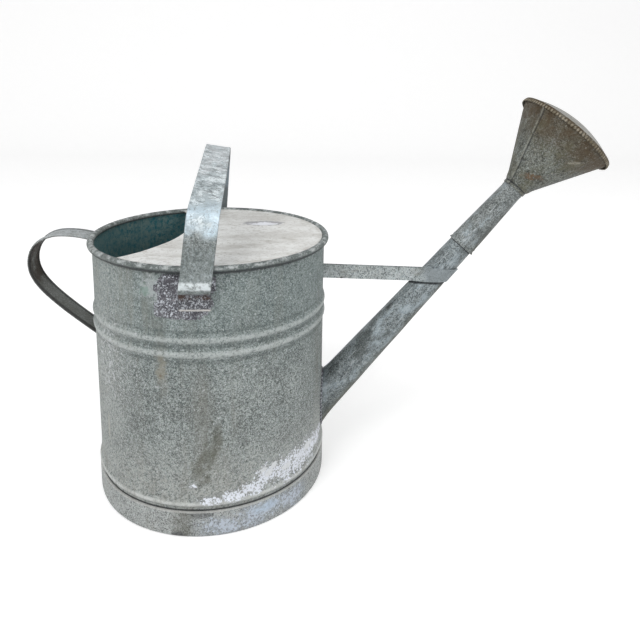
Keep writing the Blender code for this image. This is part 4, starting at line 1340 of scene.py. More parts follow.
# %% Finish of the carry handle
CARRY_DARK = (0.20, 0.225, 0.22)
CARRY_LIGHT = (0.34, 0.37, 0.37)
CARRY_WASH_AND_LIGHT = (0.55, 0.635, 0.675)
CARRY_WHITE = (0.88, 0.95, 0.98)
CARRY_NET = (0.17, 0.20, 0.21)
CARRY_CROWN_HIGHLIGHT = (0.62, 0.64, 0.66)
CARRY_REFLECTION = (0.68, 0.84, 0.95)
CARRY_LOW_SHADE = (0.155, 0.185, 0.185)
CARRY_GRAIN = (0.50, 0.56, 0.58)
CARRY_PITS = (0.10, 0.12, 0.125)
JOGGLE_HIGHLIGHT = (0.80, 0.86, 0.88)
FOOT_SPECK = (0.62, 0.65, 0.70)
FOOT_RUST_AND_SHADE = (0.085, 0.045, 0.028)
FOOT_LIP_HIGHLIGHT = (0.66, 0.64, 0.62)
CARRY_INNER_SHADE = (0.10, 0.12, 0.13)


def carry_finish():
    finish = zinc_skin("carry_zinc", CARRY_DARK, CARRY_LIGHT, 0.35, 0.42, 0.45)
    height = up(finish)
    uneven = finish.math("ADD", height, finish.both(finish.cloud(60, 5, 0.7), 0.03))
    # Painted light on the upturned arch, mixed with a real white wash.
    wash_and_light = finish.between(uneven, 0.309, 0.325)
    finish.layer(wash_and_light, CARRY_WASH_AND_LIGHT, 0.72, 0.45)
    white = finish.both(finish.mottle(0.49, 0.54, 75, 6, 0.8, offset=7.7), wash_and_light)
    finish.layer(white, CARRY_WHITE, 0.85, 0.45)
    net = finish.mottle(0.48, 0.44, 90, 6, 0.8, offset=2.2)
    finish.layer(finish.both(net, finish.between(height, 0.314, 0.326)), CARRY_NET, 0.82)
    # Painted highlight on the crown of the arch.
    crest = finish.both(finish.between(height, 0.3335, 0.3370), finish.mottle(0.40, 0.52, 120, 5))
    finish.layer(crest, CARRY_CROWN_HIGHLIGHT, 0.5)
    # A band of painted reflection where the legs turn into the arch.
    band = finish.both(finish.between(height, 0.292, 0.302), finish.between(height, 0.326, 0.316))
    finish.layer(finish.both(band, finish.mottle(0.30, 0.55, 30, 4)), CARRY_REFLECTION, 0.80, 0.35)
    # Painted shade on the upright legs.
    finish.layer(finish.between(height, 0.300, 0.280), CARRY_LOW_SHADE, 0.5)
    finish.layer(finish.mottle(0.50, 0.62, 300, 5, 0.8, (1, 1, 1.5), offset=5.0), CARRY_GRAIN, 0.45)
    finish.layer(finish.mottle(0.46, 0.38, 260, 5, 0.8, offset=6.0), CARRY_PITS, 0.55)
    # Painted highlight on the bulge where the strap passes the roll.
    joggle = finish.both(finish.between(height, 0.2490, 0.2515), finish.between(height, 0.2590, 0.2560))
    finish.layer(finish.both(joggle, finish.mottle(0.34, 0.54, 160, 4, 0.7)), JOGGLE_HIGHLIGHT, 0.85, 0.3)
    foot = finish.between(height, 0.2470, 0.2430)
    finish.layer(foot, PLUM, 0.9, 0.55)
    specks = finish.both(foot, finish.mottle(0.50, 0.57, 560, 4, 0.8, offset=3.3))
    finish.layer(specks, FOOT_SPECK, 0.85, 0.5, 0.6)
    # Rust and painted shade in the recess under the bulge.
    rusty = finish.both(finish.between(height, 0.2480, 0.2440), finish.between(height, 0.2370, 0.2400))
    finish.layer(finish.both(rusty, finish.mottle(0.42, 0.6, 110, 4)), FOOT_RUST_AND_SHADE, 0.8, 0.7)
    # Painted highlight along the lower edge of the foot.
    finish.layer(finish.between(height, 0.2304, 0.2294), FOOT_LIP_HIGHLIGHT, 0.9, 0.4)
    # Painted shade along the outer side of each rolled edge.
    across = finish.math("ABSOLUTE", attribute(finish, "across"))
    finish.layer(finish.between(across, 13.6, 14.2), SLATE, 0.4)
    # Painted shade on the inner side of the strap.
    inner = finish.between(attribute(finish, "side"), 0.0, -0.5)
    finish.layer(inner, CARRY_INNER_SHADE, 0.75, 0.5)
    return finish.done(0.0006)


make_carry_handle(carry_finish())

# %% [markdown]
# ## Lug plates and the solder crust
# Behind each foot of the handle sits a plate bent to the round of the wall. The plate and the foot are
# drowned in one dark crust of solder.

# %% Lug plates
LUG_WIDTH = 0.0395
LUG_LOW = CARRY["foot_top"] + 0.0026
LUG_HIGH = LUG_LOW + 0.0130
LUG_THICK = 0.0012
LUG_SHIFT = -0.0010
LUG_COLUMNS = 40
LUG_ROWS = 16


def make_lug(name, side, node, material):
    shift = (CARRY["shift"] + LUG_SHIFT) / BODY_RADIUS
    middle = side * math.pi / 2 + math.radians(CARRY["turn"]) - side * shift
    half = LUG_WIDTH / 2 / BODY_RADIUS
    turns = np.linspace(middle - half, middle + half, LUG_COLUMNS)
    heights = np.linspace(LUG_LOW, LUG_HIGH, LUG_ROWS)
    grids = []
    around, upward = np.meshgrid(turns, heights, indexing="ij")
    for out in (GAP + LUG_THICK, GAP):
        radius = BODY_RADIUS + out
        grid = np.stack([radius * np.cos(around), radius * np.sin(around), upward], axis=2)
        grids.append(grid + np.array(AXIS))
    sheet_piece(name, grids[0], grids[1], material, "can", node)


make_lug("front_lug", -1, "front_lug_plate", solder_metal)
make_lug("back_lug", 1, "back_lug_plate", solder_metal)

# %% [markdown]
# ## The crust
# The crust is thick in the middle and thins out towards all four sides. Where noise makes it thinner than
# nothing it lies under the wall's skin, so its edge is as ragged as flowed solder.

# %% Crust
CRUST_COLUMNS = 120
CRUST_ROWS = 110
CRUST_THICK = 0.0006
CRUST_DEPTH = 0.0004        # its lowest point under the wall's skin
CRUST_MOST = 0.0009
CRUST_GRAIN = 0.00012


def make_crust(name, middle, low, high, half_width, seed, material):
    turns = np.radians(np.linspace(middle - half_width, middle + half_width, CRUST_COLUMNS))
    heights = np.linspace(low, high, CRUST_ROWS)
    grid = np.zeros((CRUST_COLUMNS, CRUST_ROWS, 3))
    for i, turn in enumerate(turns):
        for j, height in enumerate(heights):
            u = (2 * i / (CRUST_COLUMNS - 1) - 1) ** 2
            v = (2 * j / (CRUST_ROWS - 1) - 1) ** 2
            point = Vector((turn * BODY_RADIUS * 1000, height * 1000, seed))
            lump = noise.noise(point * 0.16) * 1.2 + noise.noise(point * 0.5) * 0.8
            thick = CRUST_THICK * (0.85 - 1.0 * u - 0.9 * v ** 1.5 + 0.9 * lump)
            thick = min(max(thick, -CRUST_DEPTH), CRUST_MOST) + CRUST_GRAIN * noise.noise(point * 1.4)
            radius = BODY_RADIUS + 0.0001 + thick
            grid[i, j] = (radius * math.cos(turn), radius * math.sin(turn), height)
    inner = grid.copy()
    scale = (BODY_RADIUS - 0.0006) / np.linalg.norm(grid[:, :, :2], axis=2)
    inner[:, :, 0] *= scale
    inner[:, :, 1] *= scale
    sheet_piece(name, grid + np.array(AXIS), inner + np.array(AXIS), material, "can", None)


make_crust("front_crust", -95.5, 0.2195, 0.2615, 13.0, 2.0, solder_metal)
make_crust("back_crust", 96.0, 0.2240, 0.2610, 11.5, 9.0, solder_metal)

# %% [markdown]
# ## Rear handle
# A loop of strap with rolled edges, from the rim round the back and down to the wall. Both ends are
# pressed against the wall: points that would pass inside it are set back on its surface.

# %% Rear handle
REAR = {"width": 0.0270, "web": 0.0010, "edge": 0.0030, "reach": 0.0665, "crown": 0.0022,
        "crown_out": 0.0330, "reach_drop": 0.0294, "foot_drop": 0.1059, "fold": 0.0030}


def bezier(corners, steps):
    t = np.linspace(0, 1, steps)[:-1, None]
    a, b, c, d = [np.array(corner) for corner in corners]
    return list((1 - t) ** 3 * a + 3 * t * (1 - t) ** 2 * b + 3 * t * t * (1 - t) * c + t ** 3 * d)


def rear_line():
    top = RIM_HEIGHT + REAR["crown"]
    rim = (-(BODY_RADIUS + RIM_OFFSET + 0.0020), RIM_HEIGHT - RIM_BEAD_RADIUS / 2)
    crown = (-(BODY_RADIUS + REAR["crown_out"]), top)
    back = (-(BODY_RADIUS + REAR["reach"]), RIM_HEIGHT - REAR["reach_drop"])
    foot = (-(BODY_RADIUS - 2 * SHEET), RIM_HEIGHT - REAR["foot_drop"] - SHEET)
    turn = top - back[1]
    out = REAR["reach"] - REAR["crown_out"]
    drop = REAR["foot_drop"] - REAR["reach_drop"]
    path = bezier((rim, (rim[0] - 0.3 * REAR["crown_out"], 0.4 * rim[1] + 0.6 * top),
                   (crown[0] + 0.4 * REAR["crown_out"], top), crown), 30)
    path += bezier((crown, (crown[0] - 0.62 * out, top), (back[0], back[1] + 0.56 * turn), back), 30)
    path += bezier((back, (back[0], back[1] - 0.24 * drop),
                    (back[0] + 0.22 * REAR["reach"], back[1] - 0.46 * drop), foot), 50)
    path.append(np.array(foot))
    return smooth_line(path, 0.0015, 2)


def make_rear_handle(material):
    flat = rear_line()
    run = np.gradient(flat, axis=0)
    run /= np.linalg.norm(run, axis=1)[:, None]
    line = np.stack([flat[:, 0], np.zeros(len(flat)), flat[:, 1]], axis=1)
    outward = np.stack([run[:, 1], np.zeros(len(flat)), -run[:, 0]], axis=1)
    section = strap_section(REAR["width"], REAR["web"], REAR["edge"], REAR["fold"])
    p = sweep_strap(line, outward, np.array([0.0, 1.0, 0.0]), section)
    radius = np.hypot(p[:, 0], p[:, 1])
    wall = np.where(p[:, 2] > RIM_HEIGHT - 0.012, BODY_RADIUS + RIM_OFFSET, BODY_RADIUS - 0.0002)
    push = np.maximum(wall / radius, 1.0)
    p[:, 0] *= push
    p[:, 1] *= push
    strap_piece("rear_strap", p + np.array(AXIS), len(flat), section, material, "rear_handle")


print("The rear handle's path has", len(rear_line()), "points")

# %% [markdown]
# ## Finish of the rear handle
# Painted light makes the top of the crown pale. The inner side is darkened with painted shade and turns
# brown in the bend. Painted shade fills the groove along each rolled edge, and the edge nearest the viewer
# is dark with painted shade, with a thin painted glint on it.

# %% Finish of the rear handle
REAR_DARK = (0.15, 0.165, 0.16)
REAR_LIGHT = (0.30, 0.32, 0.32)
REAR_CROWN_LIT = (0.50, 0.53, 0.55)
REAR_INNER_SHADE = (0.16, 0.16, 0.145)
REAR_BROWN = (0.050, 0.037, 0.024)
REAR_EDGE_SHADE = (0.040, 0.040, 0.038)
REAR_GLINT = (0.15, 0.155, 0.15)


def rear_finish():
    finish = zinc_skin("rear_zinc", REAR_DARK, REAR_LIGHT, 0.35, 0.48, 0.7)
    height = up(finish)
    # Painted light on the top of the crown.
    crown = finish.both(finish.between(height, 0.258, 0.266), finish.mottle(0.38, 0.56, 160, 6, 0.8))
    finish.layer(crown, REAR_CROWN_LIT, 0.75, 0.5)
    finish.layer(finish.mottle(0.52, 0.66, 80, 5, 0.65), WARM_GREY, 0.5)
    side = attribute(finish, "side")
    # Painted shade on the inner side.
    inner = finish.between(side, 0.0, -0.4)
    finish.layer(inner, REAR_INNER_SHADE, 0.60, 0.55)
    bend = finish.both(finish.between(height, 0.205, 0.222), finish.between(height, 0.264, 0.258))
    bend = finish.both(bend, finish.mottle(0.30, 0.55, 60, 5))
    finish.layer(finish.both(inner, bend), REAR_BROWN, 0.94, 0.6)
    across = finish.math("ABSOLUTE", attribute(finish, "across"))
    # Painted shade in the groove along each rolled edge.
    groove = finish.both(finish.between(across, 9.3, 10.2), finish.between(across, 11.4, 10.6))
    finish.layer(groove, NIGHT, 0.8)
    # Painted shade on the rolled edge nearest the viewer, with a painted glint on it.
    nearness = finish.along((0.0, -1.0, 0.0))
    fold = finish.both(finish.between(side, 0.6, 0.2), finish.between(height, 0.263, 0.255))
    finish.layer(finish.both(fold, finish.between(nearness, 0.0082, 0.0090)), REAR_EDGE_SHADE, 0.85)
    glint = finish.both(finish.between(nearness, 0.0101, 0.0105), finish.between(nearness, 0.0117, 0.0113))
    glint = finish.both(glint, finish.mottle(0.36, 0.52, 70, 4, 0.6))
    finish.layer(finish.both(fold, glint), REAR_GLINT, 0.7)
    return finish.done(0.0006)


make_rear_handle(rear_finish())

# %% [markdown]
# ## Brace
# One strip runs from the wall to the spout, round it and back. In plan it is two straight legs and most
# of an oval, because the spout leans through it. Its near side stands a little higher.

# %% Brace
BRACE = {"height": 0.0148, "wall_z": RIM_HEIGHT - 0.0402, "fall": 0.0046, "spacing": 0.0108,
         "thick": 0.0012, "tilt": math.radians(12.0)}
BRACE_LEVELS = 9
LEG_STEPS = 30
LOOP_STEPS = 81


def spout_axis_x(height):
    return BODY_RADIUS + (height - SPOUT_HEIGHT) / math.tan(SPOUT_RISE)


def make_brace(material):
    end_x = spout_axis_x(BRACE["wall_z"] - BRACE["fall"])
    slope = BRACE["fall"] / (end_x - BODY_RADIUS)
    levels = np.linspace(-0.5, 0.5, BRACE_LEVELS) * BRACE["height"]
    half_gap = BRACE["spacing"] / 2
    grids = []
    for out in (BRACE["thick"], 0.0):
        rows = []
        for side, shares in ((-1, np.linspace(0, 1, LEG_STEPS)), (0, np.linspace(0, 1, LOOP_STEPS)),
                             (1, np.linspace(1, 0, LEG_STEPS))):
            for share in shares:
                row = []
                for level in levels:
                    z_mid = BRACE["wall_z"] + level
                    z_end = z_mid - BRACE["fall"]
                    centre = spout_axis_x(z_end)
                    tube = spout_radius((centre - BODY_RADIUS) / math.cos(SPOUT_RISE)) + GAP + out
                    wide = tube / math.sin(SPOUT_RISE)
                    first = math.acos(-math.sqrt(1 - (min(half_gap + out, tube * 0.9) / tube) ** 2))
                    if side == 0:
                        turn = -first + 2 * first * share
                        x = centre + wide * math.cos(turn)
                        y = tube * math.sin(turn)
                    else:
                        start = BODY_RADIUS - 0.0002
                        x = start + (centre + wide * math.cos(first) - start) * share
                        y = side * (half_gap + out)
                    z = z_mid - slope * (x - BODY_RADIUS) - math.tan(BRACE["tilt"]) * y
                    row.append((x, y, z))
                rows.append(row)
        grids.append(np.array(rows) + np.array(AXIS))
    sheet_piece("brace_strip", grids[0][:, ::-1], grids[1][:, ::-1], material, "can",
                "spout_brace")


print("The brace leaves the wall at", round(BRACE["wall_z"], 4), "m")

# %% [markdown]
# ## Finish of the brace
# The legs are pale and mottled. Where the strip goes round the spout it is as dark as the tube. One small
# dark spot lies on the near leg, close to the wall.

# %% Finish of the brace
BRACE_DARK = (0.45, 0.51, 0.53)
BRACE_LIGHT = (0.72, 0.79, 0.82)
LOOP_DARK = (0.19, 0.22, 0.235)
LOOP_LIGHT = (0.38, 0.43, 0.46)
DARK_SPOT = AXIS + Vector((0.1395, -0.0062, 0.2197))


def brace_finish():
    finish = zinc_skin("brace_zinc", BRACE_DARK, BRACE_LIGHT, 0.20, 0.5, 1.0, (3, 1, 1))
    finish.layer(finish.mottle(0.54, 0.66, 90, 5, 0.7, (3, 1, 1)), WARM_GREY, 0.5)
    loop = finish.between(finish.along((1.0, 0.0, 0.0)), 0.106, 0.118)
    finish.layer(loop, LOOP_DARK, 0.75)
    finish.layer(finish.both(loop, finish.mottle(0.48, 0.62, 60, 6, 0.75)), LOOP_LIGHT, 0.6)
    finish.layer(finish.between(finish.away(DARK_SPOT, (0.0016, 0.01, 0.0016)), 1.1, 0.7), NIGHT, 0.9)
    return finish.done(0.0005)


make_brace(brace_finish())

# %% [markdown]
# ## Rose: socket
# The socket is a short tapered sleeve that pushes over the tip of the spout. Its mouth is turned out to a
# lip, with a fine ring pressed behind it and another at the neck.

# %% Socket
SOCKET_START = 0.233
SOCKET_LENGTH = 0.088
ROSE_PLACE = SPOUT_PLACE @ Matrix.Translation((0.0, 0.0, SOCKET_START))
SEAT_RADIUS = SPOUT_TIP_RADIUS + GAP + SHEET
SOCKET_TAPER = 0.032
SOCKET_DARK = (0.135, 0.15, 0.15)
SOCKET_LIGHT = (0.23, 0.25, 0.25)


def socket_radius(along):
    return SEAT_RADIUS + SOCKET_TAPER * (SPOUT_LENGTH - SOCKET_START - along)


def make_socket(material):
    profile = []
    for along in np.linspace(SOCKET_LENGTH, 0.0, 90):
        lip = 0.0013 * math.exp(-(along / 0.0016) ** 2)
        ring = 0.0004 * math.exp(-((along - 0.0055) / 0.0010) ** 2)
        neck = 0.0005 * math.exp(-((along - 0.0815) / 0.0010) ** 2)
        profile.append((socket_radius(along) + lip + ring + neck, along))

    def swell(turns, height):
        return 0.0003 * np.sin(2 * turns + 1.2) * np.sin(height * 60)

    turned_piece("rose_sleeve", profile, 72, material, "rose", "rose_socket", place=ROSE_PLACE,
                 shape=swell)


make_socket(tube_finish("socket_zinc", SOCKET_DARK, SOCKET_LIGHT, 0.5).done(0.0005))

# %% [markdown]
# ## Rose: cone and seam
# The cone is rolled from one piece, so it has a folded seam from neck to rim. The seam is a ridge of even
# width, so its angle gets smaller towards the rim, and it is part of the turned shape.

# %% Cone and its seam
ROSE_DEPTH = 0.0775
ROSE_RADIUS = 0.0560
ROSE_HEM = 0.0042
ROSE_DOME = 0.0142
RIM_ALONG = SOCKET_LENGTH + ROSE_DEPTH
SEAM_TURN = math.radians(-150.0)


def make_cone(material):
    edge = ROSE_RADIUS - SHEET - GAP
    neck = socket_radius(SOCKET_LENGTH) + GAP + SHEET
    profile = [(edge, RIM_ALONG - 2 * SHEET - GAP)]
    for share in np.linspace(1.0, 0.0, 60):
        flare = 0.0009 * math.exp(-((share - 0.02) / 0.05) ** 2)
        radius = neck + (edge - SHEET - neck) * share + flare
        profile.append((radius, SOCKET_LENGTH + (ROSE_DEPTH - 3 * SHEET) * share))
    profile += [(neck + 0.0002, SOCKET_LENGTH - 0.0006), (neck + 0.0004, SOCKET_LENGTH - 0.0028),
                (neck + 0.0001, SOCKET_LENGTH - 0.0045)]

    def shape(turns, height):
        off = (turns - SEAM_TURN + math.pi) % (2 * math.pi) - math.pi
        reach = 0.014 + 0.6 * (height - SOCKET_LENGTH).clip(0.0)
        across = off * reach
        seam = 0.0012 * smooth_step(0.0030, 0.0016, np.abs(across))
        swell = 0.0005 * np.sin(3 * turns + 0.6) * smooth_step(SOCKET_LENGTH, RIM_ALONG, height)
        return seam + swell * (1 - smooth_step(RIM_ALONG - 0.012, RIM_ALONG - 0.004, height))

    turned_piece("rose_funnel", profile, 240, material, "rose", "rose_cone", place=ROSE_PLACE,
                 shape=shape)


print("Seam at", round(math.degrees(SEAM_TURN)), "degrees")

# %% [markdown]
# ## Finish of the rose
# The rose is the darkest piece: olive and brown, with a little rust near the neck and towards the crimp.
# Distance along the rose's own axis tells the layers where they are.

# %% Finish of the rose
ROSE_LIGHT = (0.13, 0.13, 0.095)
ROSE_OLIVE = (0.125, 0.12, 0.075)
ROSE_STREAK = (0.23, 0.235, 0.215)
ROSE_RUST = (0.085, 0.058, 0.032)
ROSE_PITS = (0.030, 0.030, 0.024)
ROSE_BROWN = (0.080, 0.048, 0.018)
NECK_RUST = (0.165, 0.095, 0.050)
ROSE_PALE_MARK = (0.36, 0.34, 0.28)
SEAM_HIGHLIGHT = (0.32, 0.32, 0.28)
DOME_GREY = (0.40, 0.40, 0.385)
ROSE_DOTS = (0.32, 0.31, 0.26)
ROSE_TURNED = ROSE_PLACE.to_3x3()
ROSE_AHEAD = ROSE_TURNED @ Vector((0.0, 0.0, 1.0))
SEAM_ACROSS = ROSE_TURNED @ Vector((math.sin(SEAM_TURN), -math.cos(SEAM_TURN), 0.0))
SEAM_TOWARD = ROSE_TURNED @ Vector((math.cos(SEAM_TURN), math.sin(SEAM_TURN), 0.0))


def rose_spot(along, turn, radius):
    return ROSE_PLACE @ Vector((radius * math.cos(turn), radius * math.sin(turn), along))


def rose_browns(finish, reach):
    """Olive clouds, rust that thickens towards the rim, and one rust patch and one scratch."""
    finish.layer(finish.mottle(0.46, 0.66, 38, 6, 0.65, offset=5.0), ROSE_OLIVE, 0.7)
    finish.layer(finish.mottle(0.55, 0.70, 50, 5, 0.7, (1, 1, 4), TUBE_LEAN, 2.0), ROSE_STREAK, 0.55)
    rusty = finish.both(finish.between(reach, -0.050, -0.004),
                        finish.mottle(0.40, 0.60, 75, 6, 0.8, offset=8.0))
    finish.layer(rusty, ROSE_RUST, 0.82, 0.7, 0.2)
    finish.layer(finish.mottle(0.47, 0.38, 110, 6, 0.8, offset=11.0), ROSE_PITS, 0.75)
    finish.layer(finish.between(reach, -0.040, -0.004), ROSE_BROWN, 0.48)
    by_neck = rose_spot(SOCKET_LENGTH + 0.015, math.radians(-98), 0.021)
    patch = finish.patch(by_neck, (0.009, 0.012, 0.003), 1.0, 160)
    finish.layer(finish.both(patch, finish.mottle(0.40, 0.56, 140, 6, 0.8, offset=3.0)), NECK_RUST, 0.75, 0.7)
    by_rim = rose_spot(SOCKET_LENGTH + 0.052, math.radians(-72), 0.042)
    mark = finish.patch(by_rim, (0.010, 0.012, 0.0012), 1.0, 160)
    finish.layer(finish.both(mark, finish.mottle(0.42, 0.56, 170, 5, 0.8, offset=1.0)), ROSE_PALE_MARK, 0.7)


print("Browns of the rose, from", ROSE_PITS, "to", ROSE_PALE_MARK)

# %% [markdown]
# ## Lines of the rose
# Last come the marks that follow its make: a painted highlight on the crest of the seam with painted shade
# at its foot, a dark line at the neck, and the paler dome beyond the rim.

# %% Lines of the rose
def rose_lines(finish, reach, rim):
    """The seam with its painted highlight and painted shadow, the line at the neck, and the paler dome beyond
    the rim.
    """
    # Painted highlight on the seam's crest and painted shade at its foot.
    off = finish.along(SEAM_ACROSS, rim)
    near = finish.between(finish.along(SEAM_TOWARD, rim), 0.0, 0.004)
    crest = finish.between(finish.math("ABSOLUTE", off), 0.0013, 0.0007)
    shade = finish.between(finish.math("ABSOLUTE", finish.math("ADD", off, 0.0020)), 0.0008, 0.0003)
    crest = finish.both(crest, finish.mottle(0.36, 0.58, 160, 5, 0.8))
    finish.layer(finish.both(crest, near), SEAM_HIGHLIGHT, 0.65)
    finish.layer(finish.both(shade, near), NIGHT, 0.60)
    neck_line = finish.math("ABSOLUTE", finish.math("ADD", reach, ROSE_DEPTH + 0.0012))
    finish.layer(finish.between(neck_line, 0.0009, 0.0004), NIGHT, 0.8)
    outer = finish.between(reach, 0.0000, 0.0012)
    finish.layer(outer, DOME_GREY, 0.75, 0.5)
    finish.layer(finish.both(outer, finish.mottle(0.50, 0.64, 50, 5, 0.7)), WARM_GREY, 0.6)
    finish.layer(finish.mottle(0.62, 0.68, 330, 3, 0.6, offset=1.1), ROSE_DOTS, 0.55)


def rose_finish():
    finish = zinc_skin("rose_zinc", DARK_OLIVE, ROSE_LIGHT, 0.35, 0.50, 0.28, (1, 1, 2.5), TUBE_LEAN)
    rim = rose_spot(RIM_ALONG, 0.0, 0.0)
    reach = finish.along(ROSE_AHEAD, rim)
    rose_browns(finish, reach)
    rose_lines(finish, reach, rim)
    return finish.done(0.0006)


rose_zinc = rose_finish()
make_cone(rose_zinc)

# %% [markdown]
# ## Rose: perforated face
# The face is a shallow dome whose hem is crimped over the cone. The holes sit in rings, six more in each
# ring. In Geometry Nodes each ring is a circle of points, a pin stands on every point, and all the pins
# are cut from the dome at once.

# %% Perforations
HOLE_RINGS = 4


def perforation_tree(rings):
    inputs = [("Hole Radius", FLOAT), ("Pitch", FLOAT), ("Reach", FLOAT), ("Level", FLOAT),
              ("Sides", INTEGER), ("Finish", MATERIAL)]
    tree, start, end = new_tree("perforated_dome", inputs)
    link = tree.links.new
    join = node_of(tree, "GeometryNodeJoinGeometry")
    centre = node_of(tree, "GeometryNodePoints")
    link(centre.outputs[0], join.inputs[0])
    for ring in range(1, rings + 1):
        circle = node_of(tree, "GeometryNodeMeshCircle")
        circle.inputs["Vertices"].default_value = 6 * ring
        radius = node_of(tree, "ShaderNodeMath", operation="MULTIPLY")
        link(start.outputs["Pitch"], radius.inputs[0])
        radius.inputs[1].default_value = float(ring)
        link(radius.outputs[0], circle.inputs["Radius"])
        spots = node_of(tree, "GeometryNodeMeshToPoints")
        link(circle.outputs[0], spots.inputs[0])
        turn = node_of(tree, "GeometryNodeTransform")
        turn.inputs["Rotation"].default_value = (0.0, 0.0, math.pi / (6 * ring) * (ring % 2))
        link(spots.outputs[0], turn.inputs["Geometry"])
        link(turn.outputs[0], join.inputs[0])
    pin = node_of(tree, "GeometryNodeMeshCylinder")
    link(start.outputs["Sides"], pin.inputs["Vertices"])
    link(start.outputs["Hole Radius"], pin.inputs["Radius"])
    link(start.outputs["Reach"], pin.inputs["Depth"])
    stand = node_of(tree, "GeometryNodeInstanceOnPoints")
    link(join.outputs[0], stand.inputs["Points"])
    link(pin.outputs["Mesh"], stand.inputs["Instance"])
    lift = node_of(tree, "GeometryNodeTransform")
    level = node_of(tree, "ShaderNodeCombineXYZ")
    link(start.outputs["Level"], level.inputs["Z"])
    link(level.outputs[0], lift.inputs["Translation"])
    link(stand.outputs[0], lift.inputs["Geometry"])
    real = node_of(tree, "GeometryNodeRealizeInstances")
    link(lift.outputs[0], real.inputs[0])
    cut = node_of(tree, "GeometryNodeMeshBoolean", operation="DIFFERENCE")
    link(start.outputs["Geometry"], cut.inputs["Mesh 1"])
    link(real.outputs[0], cut.inputs["Mesh 2"])
    solid = node_of(tree, "GeometryNodeRealizeInstances")
    paint = node_of(tree, "GeometryNodeSetMaterial")
    link(cut.outputs["Mesh"], solid.inputs[0])
    link(solid.outputs[0], paint.inputs["Geometry"])
    link(start.outputs["Finish"], paint.inputs["Material"])
    link(paint.outputs[0], end.inputs[0])
    return tree


print("Holes:", 1 + sum(6 * ring for ring in range(1, HOLE_RINGS + 1)))

# %% [markdown]
# ## Rose: the dome
# The dome is part of a sphere whose edge turns over into the hem. A grid turned round an axis leaves a
# small hole at the crown of each skin, so those two rings of points are closed with a face.

# %% Dome
DOME_STEPS = 120
DOME_ROWS = 22
HEM_ROWS = 5


def make_face(material):
    edge = ROSE_RADIUS - SHEET
    sphere = (edge ** 2 + ROSE_DOME ** 2) / (2 * ROSE_DOME)
    profile = []
    for share in np.linspace(0.004, 0.985, DOME_ROWS):
        radius = edge * share
        profile.append((radius, RIM_ALONG + math.sqrt(sphere ** 2 - radius ** 2) - (sphere - ROSE_DOME)))
    for k in range(1, HEM_ROWS + 1):
        turn = math.pi / 2 * k / HEM_ROWS
        profile.append((edge + SHEET * math.sin(turn), RIM_ALONG + SHEET * math.cos(turn) - SHEET / 2))
    profile += [(ROSE_RADIUS, RIM_ALONG - ROSE_HEM * 0.6), (ROSE_RADIUS - 0.0001, RIM_ALONG - ROSE_HEM)]
    line = np.array(profile)
    inner = line - profile_normals(line) * SHEET
    inner[0, 0] = line[0, 0]
    upright = Matrix.Identity(4)
    skins = [turn_profile(skin, DOME_STEPS, upright).reshape(-1, 3) for skin in (line, inner)]
    rows = len(line)
    size = DOME_STEPS * rows
    faces = [face for face in sheet_faces(DOME_STEPS, rows, True) if any(corner % rows for corner in face)]
    faces.append(tuple(k * rows for k in range(DOME_STEPS)))
    faces.append(tuple(size + k * rows for k in reversed(range(DOME_STEPS))))
    dome = host_mesh("rose_dome", np.concatenate(skins), (), faces)
    values = {"Hole Radius": 0.0012, "Pitch": 0.0112, "Reach": 0.05, "Level": RIM_ALONG, "Sides": 12,
              "Finish": material}
    apply_tree(dome, perforation_tree(HOLE_RINGS), values)
    dome.data.transform(ROSE_PLACE)
    dome.data.shade_smooth()
    dome.data.set_sharp_from_angle(angle=math.radians(40))
    settle(dome, "rose", "rose_face")


make_face(rose_zinc)

# %% [markdown]
# ## Rose: crimp marks
# The tool that closed the hem left a ring of small marks. Geometry Nodes set a flat bead on each point of
# a circle, turned to face outwards.

# %% Crimp marks
CRIMP_COUNT = 96
CRIMP_BEAD = 0.0012
CRIMP_LIGHT = (0.24, 0.21, 0.16)
CRIMP_DARK = (0.12, 0.10, 0.06)


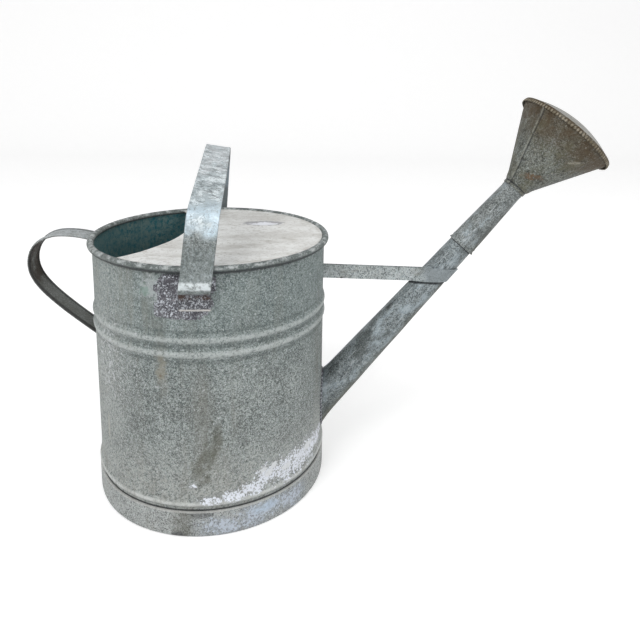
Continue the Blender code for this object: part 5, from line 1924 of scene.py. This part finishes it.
def crimp_tree():
    tree, start, end = new_tree("crimp_marks", [("Radius", FLOAT), ("Count", INTEGER), ("Bead", FLOAT),
                                                ("Finish", MATERIAL)])
    link = tree.links.new
    circle = node_of(tree, "GeometryNodeMeshCircle")
    link(start.outputs["Count"], circle.inputs["Vertices"])
    link(start.outputs["Radius"], circle.inputs["Radius"])
    bead = node_of(tree, "GeometryNodeMeshIcoSphere")
    bead.inputs["Subdivisions"].default_value = 2
    link(start.outputs["Bead"], bead.inputs["Radius"])
    flat = node_of(tree, "GeometryNodeTransform")
    flat.inputs["Scale"].default_value = (0.45, 1.0, 1.5)
    link(bead.outputs["Mesh"], flat.inputs["Geometry"])
    place = node_of(tree, "GeometryNodeInputPosition")
    face = node_of(tree, "FunctionNodeAlignRotationToVector", axis="X")
    link(place.outputs[0], face.inputs["Vector"])
    stand = node_of(tree, "GeometryNodeInstanceOnPoints")
    link(circle.outputs[0], stand.inputs["Points"])
    link(flat.outputs[0], stand.inputs["Instance"])
    link(face.outputs[0], stand.inputs["Rotation"])
    real = node_of(tree, "GeometryNodeRealizeInstances")
    paint = node_of(tree, "GeometryNodeSetMaterial")
    link(stand.outputs[0], real.inputs[0])
    link(real.outputs[0], paint.inputs["Geometry"])
    link(start.outputs["Finish"], paint.inputs["Material"])
    link(paint.outputs[0], end.inputs[0])
    return tree


def crimp_finish():
    finish = Finish("crimp", CRIMP_LIGHT, 0.4, 0.45)
    finish.layer(finish.mottle(0.44, 0.62, 120, 4, 0.7), CRIMP_DARK, 0.9, 0.6)
    return finish.done(0.0003)


def make_crimp():
    marks = host_mesh("crimp_marks", [(0.0, 0.0, 0.0)])
    apply_tree(marks, crimp_tree(), {"Radius": ROSE_RADIUS, "Count": CRIMP_COUNT, "Bead": CRIMP_BEAD,
                                     "Finish": crimp_finish()})
    marks.data.transform(ROSE_PLACE @ Matrix.Translation((0.0, 0.0, RIM_ALONG - ROSE_HEM * 0.70)))
    marks.data.shade_smooth()
    settle(marks, "rose", None)


make_crimp()

# %% [markdown]
# ## Base and rim wire
# The base can stay as it is: a flat disc seen only from inside and from below. It only needs its finish,
# and so does the wire inside the roll.

# %% Pieces that keep their shape
WIRE_BROWN = (0.12, 0.10, 0.085)


def base_finish():
    finish = zinc_skin("base_zinc", SLATE, ZINC, 0.3, 0.55, 0.3)
    inside = finish.between(up(finish), 0.0100, 0.0106)
    finish.layer(inside, DEEP_TEAL, 0.9, 0.4)
    finish.layer(finish.both(inside, finish.mottle(0.5, 0.64, 35, 5)), OLIVE, 0.6)
    return finish.done(0.0006)


def wire_finish():
    finish = Finish("wire_steel", WIRE_BROWN, 0.5, 0.5)
    finish.layer(finish.mottle(0.5, 0.64, 150, 4, 0.7), RUST, 0.6)
    return finish.done(0.0003)


for node, material in (("base_disc", base_finish()), ("rim_wire", wire_finish())):
    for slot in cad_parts[node].material_slots:
        slot.material = material
    print(node, "keeps its solid and gets", material.name)
